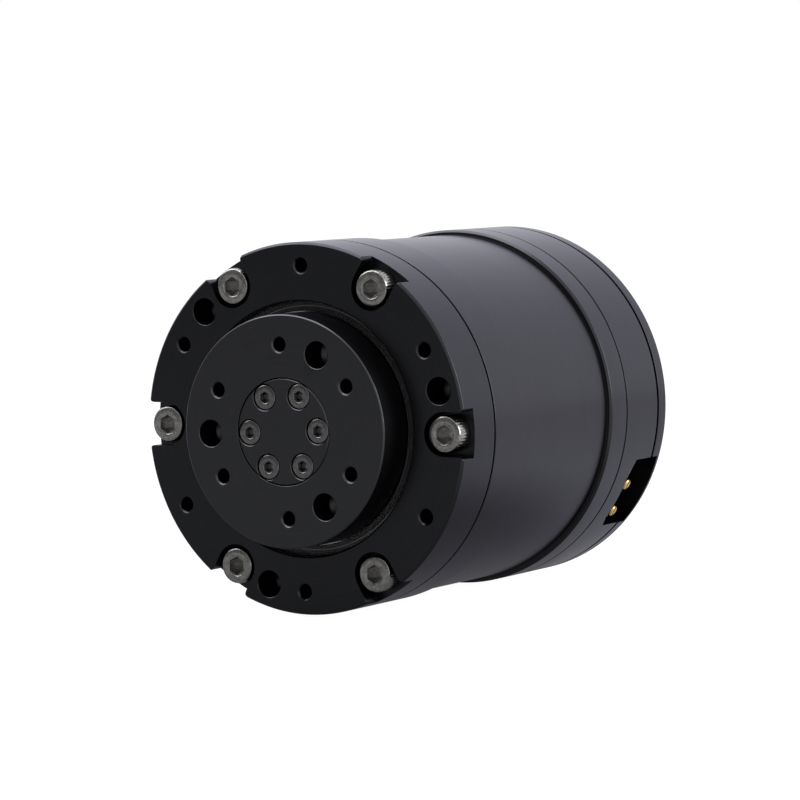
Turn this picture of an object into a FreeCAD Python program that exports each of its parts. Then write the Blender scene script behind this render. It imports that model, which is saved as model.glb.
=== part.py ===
"""Robot joint actuator: an outrunner motor and two planetary stages in a round housing.

Local frame of every piece: +Z points out of the output face, Z = 0 is the mounting face of
the front flange, and a depth is a positive distance behind that face.  Each piece is placed
by one turn about X, so the finished actuator lies with its axis along Y, its output facing
-Y and +Z up, with the origin at the centre of the mounting face.  Sizes are millimetres.
"""
import FreeCAD, Part
import math
import os
import re

import Sketcher

VECTOR = FreeCAD.Vector
AXIS_Z = VECTOR(0, 0, 1)
LIE_DOWN = FreeCAD.Placement(VECTOR(0, 0, 0), FreeCAD.Rotation(VECTOR(1, 0, 0), 90))

DIMENSIONS = {
    # front flange
    "flange_diameter": 56.0, "flange_thickness": 9.2, "flange_edge": 0.35, "bore_gap": 1.7,
    "lip_thickness": 3.2, "mount_margin": 3.5, "thread_m3": 3.0, "mount_tap": 2.05,
    "mount_tap_depth": 6.0, "tap_mouth": 0.3, "dowel_hole": 4.0, "dowel_depth": 5.0, "dowel_mouth": 0.25,
    "notch_width": 6.6, "notch_depth": 3.1, "notch_corner": 1.2, "screw_hole_m3": 3.4,
    # housings
    "barrel_step": 0.8, "barrel_length": 36.3, "band_step": 0.3, "band_length": 5.3,
    "driver_length": 10.7, "cover_thickness": 3.2, "cover_round": 0.8, "seam_edge": 0.15,
    "barrel_wall": 2.9, "bulkhead_thickness": 2.0, "bulkhead_hole": 14.0, "housing_wall": 4.9,
    "web_thickness": 1.8, "spigot_length": 0.8, "spigot_wall": 2.0, "fit_gap": 0.05,
    # output flange and cap
    "output_diameter": 35.0, "output_proud": 5.3, "output_edge": 0.3, "output_margin": 4.5,
    "output_tap_depth": 6.0, "output_dowel_depth": 4.5, "output_turn": 2.8, "centre_bore": 8.0,
    "cap_diameter": 16.0, "cap_thickness": 3.0, "cap_margin": 2.0, "cap_gap": 0.06,
    # crossed-roller output bearing
    "bearing_outer": 42.0, "bearing_inner": 30.0, "bearing_width": 6.0, "roller_diameter": 2.4,
    "roller_count": 24, "roller_gap": 0.03, "ring_split": 0.25,
    "seal_thickness": 0.7, "seal_gap": 0.1,
    # gears
    "gear_module": 0.7, "sun_teeth": 10, "planet_teeth": 20, "ring_teeth": 50,
    "pressure_angle": 20, "ring_tip": 0.9, "tooth_relief": 0.08, "ring_outer": 44.0, "planet_count": 3,
    "output_face": 7.4, "input_face": 5.6, "axial_gap": 0.4, "running_gap": 0.05,
    # carriers
    "carrier_gap": 0.67, "output_plate": 2.0, "output_back_plate": 1.6,
    "input_plate": 1.8, "input_back_plate": 1.4, "post_diameter": 5.0, "post_margin": 1.3,
    "pin_diameter": 4.0, "bush_wall": 0.8, "washer_thickness": 0.4, "carrier_eye": 9.6,
    "washer_rim": 3.0, "hub_diameter": 5.2, "pin_floor": 0.6,
    # motor
    "bell_clearance": 0.7, "bell_wall": 1.6, "bell_disc": 1.6, "bell_gap": 0.8,
    "bell_skirt": 0.85, "bell_hub_wall": 1.3, "magnet_thickness": 1.6, "magnet_overhang": 0.6,
    "pole_count": 20, "pole_cover": 0.88,
    "air_gap": 0.35, "tube_wall": 1.0, "coil_gap": 0.95, "web_gap": 1.6,
    "slot_count": 18, "yoke_wall": 2.4, "tooth_width": 2.2, "tooth_sink": 0.6, "shoe_depth": 1.2,
    "shoe_sink": 0.3, "shoe_cover": 0.8, "coil_wall": 1.0,
    "coil_foot": 0.88, "shaft_diameter": 10.0, "rotor_bearing_outer": 19.0,
    "rotor_bearing_width": 5.0, "rear_bearing_past": 0.6, "front_bearing_inset": 1.1,
    "race_wall": 1.5, "bearing_shoulder": 1.5, "magnet_puck": 6.0, "puck_thickness": 2.4,
    "puck_proud": 0.4, "lead_diameter": 1.2, "lead_circle": 32.0,
    # electronics
    "board_gap": 0.6, "board_thickness": 1.6, "boss_height": 0.9, "boss_diameter": 4.6,
    "boss_margin": 2.8, "chip_thickness": 0.8, "connector_turn": -30.0, "window_lead": 0.1,
    "window_width": 12.4, "window_neck": 8.4, "window_ear": 1.2, "window_cover": 2.0,
    "connector_width": 11.2, "connector_height": 4.2, "connector_wall": 0.5,
    "connector_inset": 1.9, "connector_length": 12.0, "connector_cavity": 7.0,
    "pin_row": 1.8, "power_pin": 1.8, "power_inset": 0.3, "power_spacing": 5.0,
    "power_offset": -0.9, "slit_width": 0.3, "slit_floor": 2.0, "signal_pin": 0.6,
    "signal_offset": 3.9, "signal_spacing": 1.6, "signal_inset": 1.0,
    "encoder_side": 4.0, "package_height": 1.0, "controller_side": 7.0,
    "transistor_length": 5.0, "transistor_width": 6.0, "transistor_reach": 8.5,
    "transistor_first": 66.0, "transistor_step": 31.0, "capacitor_diameter": 5.0,
    "capacitor_height": 5.0, "capacitor_inset": 2.8,
    # screws
    "head_m3": 5.5, "head_height_m3": 3.0, "socket_m3": 2.5, "length_m3": 12.0,
    "head_m2": 3.8, "head_height_m2": 2.0, "socket_m2": 1.5, "tap_m2": 1.6,
    "screw_hole_m2": 2.2, "cap_screw_length": 4.0, "cover_screw_grip": 4.2,
    "cover_screw_margin": 2.7, "board_screw_length": 3.0, "head_sink": 0.1,
    "cover_seat_gap": 0.1, "cap_seat_gap": 0.08, "tap_runout_m3": 1.0, "tap_runout_m2": 0.5,
    "head_m25": 4.6, "tap_m25": 2.05, "screw_hole_m25": 2.7, "socket_m25": 1.5,
    "seat_gap_m25": 0.05, "socket_depth_m25": 0.9, "shank_sink_m25": 1.0,
}

LAYOUT = {
    # diameters and bolt circles that follow from the sizes round them
    "flange_bore": "output_diameter + 2 * bore_gap",
    "barrel_diameter": "flange_diameter - 2 * barrel_step",
    "rear_diameter": "flange_diameter + 2 * band_step",
    "motor_bore": "barrel_diameter - 2 * barrel_wall",
    "mount_circle": "flange_diameter - 2 * mount_margin",
    "notch_seat": "mount_circle / 2",
    "notch_half": "notch_width / 2",
    "notch_rim": "flange_diameter / 2",
    "notch_shoulder": "notch_rim - notch_corner",
    "notch_past": "notch_rim + notch_corner",
    "notch_wide": "notch_half + notch_corner",
    "output_circle": "output_diameter - 2 * output_margin",
    "cap_circle": "cap_diameter - 2 * cap_margin",
    "cover_screw_circle": "rear_diameter - 2 * cover_screw_margin",
    "carrier_diameter": "gear_module * (ring_teeth - 2 * ring_tip) - 2 * carrier_gap",
    "post_circle": "carrier_diameter - post_diameter - 2 * post_margin",
    # front flange and housings, as depths behind the mounting face
    "band_front": "flange_thickness + barrel_length",
    "barrel_back": "band_front + band_length",
    "driver_back": "barrel_back + driver_length",
    "cover_back": "driver_back + cover_thickness",
    "bearing_back": "lip_thickness + bearing_width",
    "driver_bore": "rear_diameter - 2 * housing_wall",
    # output stage
    "output_plate_back": "bearing_back + output_plate",
    "output_gear_front": "output_plate_back + axial_gap",
    "output_gear_back": "output_gear_front + output_face",
    "output_back_front": "output_gear_back + axial_gap",
    "output_back_back": "output_back_front + output_back_plate",
    # input stage
    "input_plate_front": "output_back_back + washer_thickness + running_gap",
    "input_plate_back": "input_plate_front + input_plate",
    "input_gear_front": "input_plate_back + axial_gap",
    "input_gear_back": "input_gear_front + input_face",
    "input_back_front": "input_gear_back + axial_gap",
    "input_back_back": "input_back_front + input_back_plate",
    "ring_back": "input_back_back - axial_gap",
    "bulkhead_front": "input_back_back + 2 * axial_gap",
    "bulkhead_back": "bulkhead_front + bulkhead_thickness",
    # motor
    "bell_diameter": "motor_bore - 2 * bell_clearance",
    "bell_front": "bulkhead_back + bell_gap",
    "bell_bore": "bell_diameter - 2 * bell_wall",
    "magnet_bore": "bell_bore - 2 * magnet_thickness",
    "stator_diameter": "magnet_bore - 2 * air_gap",
    "stator_bore": "rotor_bearing_outer + 2 * tube_wall",
    "stack_front": "bell_front + bell_disc + coil_gap + coil_wall",
    "stack_back": "barrel_back - web_gap - coil_wall",
    "bell_back": "stack_back + bell_skirt",
    "web_back": "barrel_back + web_thickness",
    "rear_race_back": "barrel_back + rear_bearing_past",
    "rear_race_front": "rear_race_back - rotor_bearing_width",
    "front_race_front": "stack_front + front_bearing_inset",
    "front_race_back": "front_race_front + rotor_bearing_width",
    "bearing_lip": "rotor_bearing_outer - 2 * bearing_shoulder",
    # electronics
    "board_diameter": "driver_bore - 2 * board_gap",
    "boss_circle": "board_diameter - 2 * boss_margin",
    "capacitor_circle": "board_diameter - capacitor_diameter - 2 * capacitor_inset",
    "board_front": "web_back + boss_height",
    "board_back": "board_front + board_thickness",
    "window_front": "board_back - window_lead",
    "pin_depth": "board_back + pin_row",
    "connector_reach": "rear_diameter / 2 - connector_inset",
    "power_reach": "rear_diameter / 2 - power_inset",
    # screws
    "cover_screw_seat": "cover_back - head_height_m2 - head_sink",
    "cover_screw_length": "cover_screw_seat - barrel_back + cover_screw_grip",
}

DOC = FreeCAD.newDocument("JointActuator")
SHEET = DOC.addObject("Spreadsheet::Sheet", "Dimensions")
LAYOUT_SET = DOC.addObject("App::VarSet", "Layout")


def bound(formula):
    """Return a formula with each size name written as the sheet or layout property it is."""
    def qualify(match):
        name = match.group(0)
        if name in DIMENSIONS:
            return "Dimensions." + name
        if name in LAYOUT:
            return "Layout." + name
        return name
    return re.sub(r"[a-z][a-z0-9_]*", qualify, formula)


def write_sizes():
    """Write the driving dimensions to the sheet and the derived stations to the layout set."""
    for row, (name, size) in enumerate(DIMENSIONS.items(), start=1):
        SHEET.set("A%d" % row, name)
        SHEET.set("B%d" % row, str(size))
        SHEET.setAlias("B%d" % row, name)
    DOC.recompute()
    for name, formula in LAYOUT.items():
        LAYOUT_SET.addProperty("App::PropertyFloat", name)
        LAYOUT_SET.setExpression(name, bound(formula))
        DOC.recompute()


class Sizes:
    """The current sizes, read by name from the sheet or the layout set."""

    def __getattr__(self, name):
        """Return one size as a float."""
        if name in DIMENSIONS:
            return float(SHEET.get(name))
        return float(getattr(LAYOUT_SET, name))


SIZE = Sizes()


# ---------------------------------------------------------------- PartDesign helpers

def new_body(name):
    """Start a PartDesign body that lies along Y in the finished actuator."""
    body = DOC.addObject("PartDesign::Body", name)
    body.Label = name
    body.Placement = LIE_DOWN
    return body


def origin_plane(body, role):
    """Find one of a body's own origin planes."""
    return [item for item in body.Origin.OriginFeatures if item.Role == role][0]


def new_sketch(body, name, role, depth=None):
    """Attach a sketch to an origin plane, moved back by a depth formula if one is given."""
    sketch = body.newObject("Sketcher::SketchObject", name)
    sketch.AttachmentSupport = [(origin_plane(body, role), "")]
    sketch.MapMode = "FlatFace"
    if depth is not None:
        sketch.setExpression("AttachmentOffset.Base.z", bound("-(%s)" % depth))
    return sketch


def fix_distance(sketch, kind, geometry, position, formula):
    """Tie one coordinate of a sketch point to a formula, measured from the sketch origin."""
    point = sketch.getPoint(geometry, position)
    start = point.x if kind == "DistanceX" else point.y
    index = sketch.addConstraint(Sketcher.Constraint(kind, -1, 1, geometry, position, start))
    sketch.setExpression("Constraints[%d]" % index, bound(formula))


def fix_point(sketch, geometry, position, across, along):
    """Tie both coordinates of a sketch point to formulas."""
    fix_distance(sketch, "DistanceX", geometry, position, across)
    fix_distance(sketch, "DistanceY", geometry, position, along)


def outline(sketch, corners):
    """Draw a closed outline of straight edges through corners given as formula pairs."""
    count = len(corners)
    guess = [(10.0 + 9.0 * math.cos(2 * math.pi * k / count),
              9.0 * math.sin(2 * math.pi * k / count)) for k in range(count)]
    for k in range(count):
        start, end = guess[k], guess[(k + 1) % count]
        sketch.addGeometry(Part.LineSegment(VECTOR(*start, 0), VECTOR(*end, 0)), False)
    for k in range(count):
        sketch.addConstraint(Sketcher.Constraint("Coincident", k, 2, (k + 1) % count, 1))
    for k, (across, along) in enumerate(corners):
        fix_point(sketch, k, 1, across, along)


def circles(sketch, holes):
    """Draw circles, each given as (diameter, across, along) formulas."""
    for diameter, across, along in holes:
        index = sketch.addGeometry(Part.Circle(VECTOR(1, 1, 0), AXIS_Z, 1.0), False)
        radius = sketch.addConstraint(Sketcher.Constraint("Radius", index, 1.0))
        sketch.setExpression("Constraints[%d]" % radius, bound("(%s) / 2" % diameter))
        fix_point(sketch, index, 3, across, along)


def on_circle(circle, turn):
    """Return the formulas of a place on a bolt circle, turned from +X."""
    return ("(%s) / 2 * cos(%s)" % (circle, turn), "(%s) / 2 * sin(%s)" % (circle, turn))


def turned(body, name, profile, cut=False):
    """Revolve a profile of (diameter, depth) formulas about the axis, or cut it away."""
    sketch = new_sketch(body, name + "Profile", "XZ_Plane")
    outline(sketch, [("(%s) / 2" % wide, "-(%s)" % deep) for wide, deep in profile])
    kind = "PartDesign::Groove" if cut else "PartDesign::Revolution"
    feature = body.newObject(kind, name)
    feature.Profile = sketch
    feature.ReferenceAxis = (sketch, ["V_Axis"])
    feature.Angle = 360.0
    return feature


def extruded(body, name, sketch, length, cut=True):
    """Cut or add straight back from a sketch plane over a length formula."""
    feature = body.newObject("PartDesign::Pocket" if cut else "PartDesign::Pad", name)
    feature.Profile = sketch
    feature.setExpression("Length", bound(length))
    feature.Reversed = not cut
    return feature


def repeated(body, name, features, count):
    """Repeat features evenly about the axis."""
    pattern = body.newObject("PartDesign::PolarPattern", name)
    pattern.Originals = features
    pattern.Axis = (features[0].Profile[0], ["N_Axis"])
    pattern.Angle = 360.0
    pattern.setExpression("Occurrences", bound(str(count)))
    body.Tip = pattern
    return pattern


def hole_ring(body, name, diameter, circle, turn, count, mouth, depth):
    """Cut a ring of round holes backward from the depth of their mouth."""
    sketch = new_sketch(body, name + "Sketch", "XY_Plane", mouth)
    circles(sketch, [(diameter,) + on_circle(circle, turn)])
    pocket = extruded(body, name, sketch, depth)
    return repeated(body, name + "Ring", [pocket], count)


def mouth_ring(body, name, diameter, width, circle, turn, count, mouth):
    """Chamfer the mouths of a ring of holes with one cone each."""
    sketch = new_sketch(body, name + "Sketch", "XY_Plane", mouth)
    circles(sketch, [("%s + 2 * %s" % (diameter, width),) + on_circle(circle, turn)])
    pocket = extruded(body, name, sketch, width)
    pocket.TaperAngle = -45.0
    return repeated(body, name + "Ring", [pocket], count)


# ---------------------------------------------------------------- shape helpers

def publish(name, shape):
    """Add a shape made with Part's own functions as a named piece."""
    piece = DOC.addObject("Part::Feature", name)
    piece.Label = name
    piece.Shape = shape
    piece.Placement = LIE_DOWN.multiply(shape.Placement)
    return piece


def tube(outer, inner, front, back):
    """Return a tube or disc between two depths."""
    shape = Part.makeCylinder(outer / 2, back - front, VECTOR(0, 0, -back))
    if inner > 0:
        shape = shape.cut(Part.makeCylinder(inner / 2, back - front, VECTOR(0, 0, -back)))
    return shape


def around(shape, count, turn=0.0):
    """Return evenly spaced copies about the axis, the first one turned by a given angle."""
    copies = []
    for k in range(int(count)):
        copy = shape.copy()
        copy.rotate(VECTOR(0, 0, 0), AXIS_Z, turn + 360.0 * k / int(count))
        copies.append(copy)
    return copies


def socket_screw(head, height, socket, shank, length):
    """Return a cap screw standing on Z = 0 under its head, with its shank towards -Z."""
    profile = [(0, height), (head / 2, height), (head / 2, 0),
               (shank / 2, 0), (shank / 2, -length), (0, -length)]
    points = [VECTOR(across, 0, along) for across, along in profile]
    screw = Part.Face(Part.makePolygon(points + points[:1])).revolve(VECTOR(0, 0, 0), AXIS_Z, 360)
    flat_to_corner = socket / 2 / math.cos(math.pi / 6)
    corners = [VECTOR(flat_to_corner * math.cos(math.pi * k / 3),
                      flat_to_corner * math.sin(math.pi * k / 3), height) for k in range(7)]
    key = Part.Face(Part.makePolygon(corners)).extrude(VECTOR(0, 0, -height / 2))
    return screw.cut(key)


def placed_on_circle(shape, circle, depth):
    """Return a shape moved out along +X on a bolt circle and back to a depth."""
    copy = shape.copy()
    copy.translate(VECTOR(circle / 2, 0, -depth))
    return copy


def cylinder_at(diameter, circle, turn, front, back):
    """Return a cylinder parallel to the axis at a place on a bolt circle."""
    place = VECTOR(circle / 2 * math.cos(math.radians(turn)),
                   circle / 2 * math.sin(math.radians(turn)), -back)
    return Part.makeCylinder(diameter / 2, back - front, place)


# ---------------------------------------------------------------- gears

SUN_TIP = 0.86
PLANET_TIP = 0.7
SUN_ROOT = 1.0
PLANET_ROOT = 1.15
RING_ROOT = 1.2


def involute_half_angle(teeth, radius):
    """Return half the angle that a tooth of an external gear spans at a radius."""
    pressure = math.radians(SIZE.pressure_angle)
    pitch = SIZE.gear_module * teeth / 2
    half_at_pitch = math.pi / (2 * teeth) - SIZE.tooth_relief / (2 * pitch)
    local = math.acos(min(1.0, pitch * math.cos(pressure) / radius))
    return half_at_pitch + math.tan(pressure) - pressure - math.tan(local) + local


def polar(radius, angle):
    """Return the point at a radius and an angle in radians."""
    return VECTOR(radius * math.cos(angle), radius * math.sin(angle), 0)


def gear_wire(teeth, tip, root, phase, internal=False):
    """Return the outline of a gear whose flanks are arcs laid on the involute.

    A tooth's middle lies at the phase angle.  For an internal gear the same outline is the
    space that the ring leaves open, so the phase is that of a space and the relief widens it.
    """
    pitch = SIZE.gear_module * teeth / 2
    base = pitch * math.cos(math.radians(SIZE.pressure_angle))
    low = max(root, base * 1.0005)
    relief = SIZE.tooth_relief / pitch if internal else 0.0
    step = 2 * math.pi / teeth

    def half(radius):
        return involute_half_angle(teeth, radius) + relief

    edges = []
    for k in range(int(teeth)):
        middle = math.radians(phase) + step * k
        rising = [polar(low, middle - half(low)),
                  polar((low + tip) / 2, middle - half((low + tip) / 2)),
                  polar(tip, middle - half(tip))]
        falling = [polar(tip, middle + half(tip)),
                   polar((low + tip) / 2, middle + half((low + tip) / 2)),
                   polar(low, middle + half(low))]
        foot_in = polar(root, middle - half(low))
        foot_out = polar(root, middle + half(low))
        next_foot = polar(root, middle + step - half(low))
        if low > root:
            edges.append(Part.LineSegment(foot_in, rising[0]).toShape())
        edges.append(Part.Arc(*rising).toShape())
        edges.append(Part.LineSegment(rising[2], falling[0]).toShape())
        edges.append(Part.Arc(*falling).toShape())
        if low > root:
            edges.append(Part.LineSegment(falling[2], foot_out).toShape())
        edges.append(Part.LineSegment(foot_out, next_foot).toShape())
    return Part.Wire(edges)


def spur_gear(teeth, tip_share, root_share, phase, front, back):
    """Return a solid external gear about the axis between two depths."""
    pitch = SIZE.gear_module * teeth / 2
    wire = gear_wire(teeth, pitch + tip_share * SIZE.gear_module,
                     pitch - root_share * SIZE.gear_module, phase)
    wire.translate(VECTOR(0, 0, -back))
    return Part.Face(wire).extrude(VECTOR(0, 0, back - front))


def planet_turn(place):
    """Return the angle of a planet's tooth that meshes with the fixed ring at a place."""
    ring_phase = place * SIZE.ring_teeth / 360.0
    return place - 360.0 / SIZE.planet_teeth * (ring_phase - 0.5)


def sun_turn(place):
    """Return the angle of a sun tooth that meshes with planets at a place."""
    return place * (SIZE.sun_teeth + SIZE.ring_teeth) / SIZE.sun_teeth


def centre_distance():
    """Return how far the planets' axes lie from the main axis."""
    return SIZE.gear_module * (SIZE.sun_teeth + SIZE.planet_teeth) / 2


# ---------------------------------------------------------------- housing pieces

def make_front_flange():
    """The front flange: screw notches open at the rim, tapped holes, dowel holes and a bore."""
    body = new_body("front_flange")
    turned(body, "FlangeBlank", [
        ("flange_bore", "0"), ("flange_diameter - 2 * flange_edge", "0"),
        ("flange_diameter", "flange_edge"), ("flange_diameter", "flange_thickness - seam_edge"),
        ("flange_diameter - 2 * seam_edge", "flange_thickness"),
        ("bearing_outer", "flange_thickness"), ("bearing_outer", "lip_thickness"),
        ("flange_bore", "lip_thickness")])
    DOC.recompute()
    notch = new_sketch(body, "NotchSketch", "XY_Plane", "0")
    draw_notch(notch)
    pocket = extruded(body, "Notch", notch, "notch_depth")
    repeated(body, "NotchRing", [pocket], 6)
    hole_ring(body, "FlangeScrewHole", "screw_hole_m3", "mount_circle", "0", 6, "0",
              "flange_thickness")
    hole_ring(body, "MountTap", "mount_tap", "mount_circle", "30", 6, "0", "mount_tap_depth")
    hole_ring(body, "MountDowel", "dowel_hole", "mount_circle", "15", 3, "0", "dowel_depth")
    mouth_ring(body, "MountTapMouth", "mount_tap", "tap_mouth", "mount_circle", "30", 6, "0")
    mouth_ring(body, "MountDowelMouth", "dowel_hole", "dowel_mouth", "mount_circle", "15", 3, "0")
    return body


def draw_notch(sketch):
    """Draw a U about a flange screw that opens through the rim with two rounded corners."""
    quarter = math.pi / 2
    inner = sketch.addGeometry(arc(SIZE.notch_seat, 0, SIZE.notch_half, quarter, 3 * quarter), False)
    front = sketch.addGeometry(Part.LineSegment(
        VECTOR(SIZE.notch_past, -SIZE.notch_wide, 0),
        VECTOR(SIZE.notch_past, SIZE.notch_wide, 0)), False)
    fix_distance(sketch, "DistanceX", inner, 3, "notch_seat")
    for side, first, near, far in ((-1, 0, 2, 1), (1, 3 * quarter, 1, 2)):
        flank = notch_edge(sketch, side, "notch_half", "notch_seat", "notch_shoulder")
        lead = notch_edge(sketch, side, "notch_wide", "notch_rim", "notch_past")
        corner = sketch.addGeometry(arc(SIZE.notch_shoulder, side * SIZE.notch_wide,
                                        SIZE.notch_corner, first, first + quarter), False)
        for join in ((flank, 1, inner, near), (flank, 2, corner, near), (corner, far, lead, 1),
                     (lead, 2, front, far)):
            sketch.addConstraint(Sketcher.Constraint("Coincident", *join))
        fix_distance(sketch, "DistanceX", corner, 3, "notch_shoulder")


def arc(across, along, radius, start, end):
    """Return a sketch arc about a place between two angles in radians."""
    return Part.ArcOfCircle(Part.Circle(VECTOR(across, along, 0), AXIS_Z, radius), start, end)


def notch_edge(sketch, side, reach, start, end):
    """Draw a straight radial edge on one side of the notch between two named stations."""
    along = side * getattr(SIZE, reach)
    edge = sketch.addGeometry(Part.LineSegment(VECTOR(getattr(SIZE, start), along, 0),
                                               VECTOR(getattr(SIZE, end), along, 0)), False)
    fix_point(sketch, edge, 1, start, "%d * %s" % (side, reach))
    fix_point(sketch, edge, 2, end, "%d * %s" % (side, reach))
    return edge


def make_main_housing():
    """The barrel with its rear band, the ring-gear bore, the bulkhead and the motor bore."""
    body = new_body("main_housing")
    turned(body, "BarrelBlank", [
        ("ring_outer", "flange_thickness"), ("barrel_diameter - 2 * seam_edge", "flange_thickness"),
        ("barrel_diameter", "flange_thickness + seam_edge"), ("barrel_diameter", "band_front"),
        ("rear_diameter - 2 * flange_edge", "band_front"),
        ("rear_diameter", "band_front + flange_edge"),
        ("rear_diameter", "barrel_back - seam_edge"),
        ("rear_diameter - 2 * seam_edge", "barrel_back"), ("motor_bore", "barrel_back"),
        ("motor_bore", "bulkhead_back"), ("bulkhead_hole", "bulkhead_back"),
        ("bulkhead_hole", "bulkhead_front"), ("ring_outer", "bulkhead_front")])
    DOC.recompute()
    hole_ring(body, "FlangeScrewTap", "thread_m3", "mount_circle", "0", 6, "flange_thickness",
              "length_m3 - flange_thickness + notch_depth + tap_runout_m3")
    hole_ring(body, "CoverScrewTap", "tap_m2", "cover_screw_circle", "0", 6,
              "barrel_back - cover_screw_grip - tap_runout_m2", "cover_screw_grip + tap_runout_m2")
    return body


def make_driver_housing():
    """The ring behind the barrel: its web carries the stator tube and the board bosses."""
    body = new_body("driver_housing")
    turned(body, "DriverBlank", [
        ("rear_diameter - 2 * seam_edge", "barrel_back"),
        ("rear_diameter", "barrel_back + seam_edge"), ("rear_diameter", "driver_back - 2 * seam_edge"),
        ("rear_diameter - 4 * seam_edge", "driver_back"), ("driver_bore", "driver_back"),
        ("driver_bore", "web_back"), ("bearing_lip", "web_back"),
        ("bearing_lip", "rear_race_back"), ("rotor_bearing_outer", "rear_race_back"),
        ("rotor_bearing_outer", "front_race_front - axial_gap"),
        ("stator_bore", "front_race_front - axial_gap"),
        ("stator_bore", "barrel_back"),
        ("motor_bore - 2 * spigot_wall - 2 * fit_gap", "barrel_back"),
        ("motor_bore - 2 * spigot_wall - 2 * fit_gap", "barrel_back - spigot_length"),
        ("motor_bore - 2 * fit_gap", "barrel_back - spigot_length"),
        ("motor_bore - 2 * fit_gap", "barrel_back")])
    DOC.recompute()
    hole_ring(body, "CoverScrewHole", "screw_hole_m2", "cover_screw_circle", "0", 6,
              "barrel_back - spigot_length", "driver_length + spigot_length")
    hole_ring(body, "LeadHole", "2 * lead_diameter", "lead_circle", "90", 3, "barrel_back",
              "web_thickness")
    boss = new_sketch(body, "BossSketch", "XY_Plane", "web_back")
    circles(boss, [("boss_diameter",) + on_circle("boss_circle", "30")])
    pad = extruded(body, "Boss", boss, "board_front - web_back", cut=False)
    repeated(body, "BossRing", [pad], 3)
    hole_ring(body, "BossTap", "tap_m2", "boss_circle", "30", 3, "barrel_back",
              "board_front - barrel_back")
    window_cut(body, "Window", [
        ("-window_neck / 2", "window_front"), ("window_neck / 2", "window_front"),
        ("window_width / 2", "window_front + window_ear"), ("window_width / 2", "cover_back"),
        ("-window_width / 2", "cover_back"), ("-window_width / 2", "window_front + window_ear")])
    return body


def window_cut(body, name, corners):
    """Cut a radial window through the wall; corners are (sideways, depth) formulas."""
    sketch = new_sketch(body, name + "Sketch", "YZ_Plane")
    sketch.AttachmentOffset = FreeCAD.Placement(
        VECTOR(0, 0, 0), FreeCAD.Rotation(VECTOR(0, 1, 0), SIZE.connector_turn))
    reach = "(driver_bore / 2 - housing_wall / 2)"
    sketch.setExpression("AttachmentOffset.Base.x", bound(reach + " * sin(connector_turn)"))
    sketch.setExpression("AttachmentOffset.Base.z", bound(reach + " * cos(connector_turn)"))
    outline(sketch, [(side, "-(%s)" % deep) for side, deep in corners])
    pocket = extruded(body, name, sketch, "2 * housing_wall")
    pocket.Reversed = True
    return pocket


def make_rear_cover():
    """The rear cover: a round-edged plate with screw counterbores and the window's rear end."""
    body = new_body("rear_cover")
    turned(body, "CoverBlank", [
        ("0", "driver_back"), ("rear_diameter - 4 * seam_edge", "driver_back"),
        ("rear_diameter", "driver_back + 2 * seam_edge"), ("rear_diameter", "cover_back"),
        ("0", "cover_back")])
    DOC.recompute()
    plate = body.Tip
    rim = circular_edge(plate.Shape, -SIZE.cover_back, SIZE.rear_diameter / 2)
    rounding = body.newObject("PartDesign::Fillet", "CoverRound")
    rounding.Base = (plate, [rim])
    rounding.setExpression("Radius", bound("cover_round"))
    body.Tip = rounding
    DOC.recompute()
    hole_ring(body, "ScrewHole", "screw_hole_m2", "cover_screw_circle", "0", 6, "driver_back",
              "cover_thickness")
    hole_ring(body, "ScrewSeat", "head_m2 + 2 * cover_seat_gap", "cover_screw_circle", "0", 6,
              "cover_screw_seat", "head_height_m2 + head_sink")
    window_cut(body, "CoverWindow", [
        ("-window_width / 2", "window_front"), ("window_width / 2", "window_front"),
        ("window_width / 2", "driver_back + window_cover"),
        ("-window_width / 2", "driver_back + window_cover")])
    return body


def circular_edge(shape, height, radius):
    """Name the circular edge of a shape that lies at a height with a given radius."""
    for index, edge in enumerate(shape.Edges, start=1):
        curve = edge.Curve
        if (isinstance(curve, Part.Circle) and abs(curve.Radius - radius) < 1e-6
                and abs(curve.Center.z - height) < 1e-6):
            return "Edge%d" % index
    raise RuntimeError("no edge of radius %g at height %g" % (radius, height))


def make_housing_details():
    """The seal, the ring gear and the screws that stay with the housing."""
    publish("dust_seal", tube(SIZE.flange_bore, SIZE.output_diameter + 2 * SIZE.seal_gap,
                              SIZE.lip_thickness - SIZE.seal_thickness, SIZE.lip_thickness))
    blank = tube(SIZE.ring_outer - 2 * SIZE.fit_gap, 0, SIZE.bearing_back, SIZE.ring_back)
    pitch = SIZE.gear_module * SIZE.ring_teeth / 2
    space = gear_wire(SIZE.ring_teeth, pitch + SIZE.gear_module * RING_ROOT,
                      pitch - SIZE.gear_module * SIZE.ring_tip, 180.0 / SIZE.ring_teeth, internal=True)
    space.translate(VECTOR(0, 0, -SIZE.ring_back - 1))
    opening = Part.Face(space).extrude(VECTOR(0, 0, SIZE.ring_back - SIZE.bearing_back + 2))
    publish("ring_gear", blank.cut(opening))

    flange_screw = socket_screw(SIZE.head_m3, SIZE.head_height_m3, SIZE.socket_m3,
                                SIZE.thread_m3, SIZE.length_m3)
    seated = placed_on_circle(flange_screw, SIZE.mount_circle, SIZE.notch_depth)
    publish("flange_screws", Part.makeCompound(around(seated, 6)))

    cover_screw = socket_screw(SIZE.head_m2, SIZE.head_height_m2, SIZE.socket_m2,
                               SIZE.tap_m2, SIZE.cover_screw_length)
    cover_screw.rotate(VECTOR(0, 0, 0), VECTOR(1, 0, 0), 180)
    seated = placed_on_circle(cover_screw, SIZE.cover_screw_circle, SIZE.cover_screw_seat)
    publish("rear_cover_screws", Part.makeCompound(around(seated, 6)))


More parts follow.
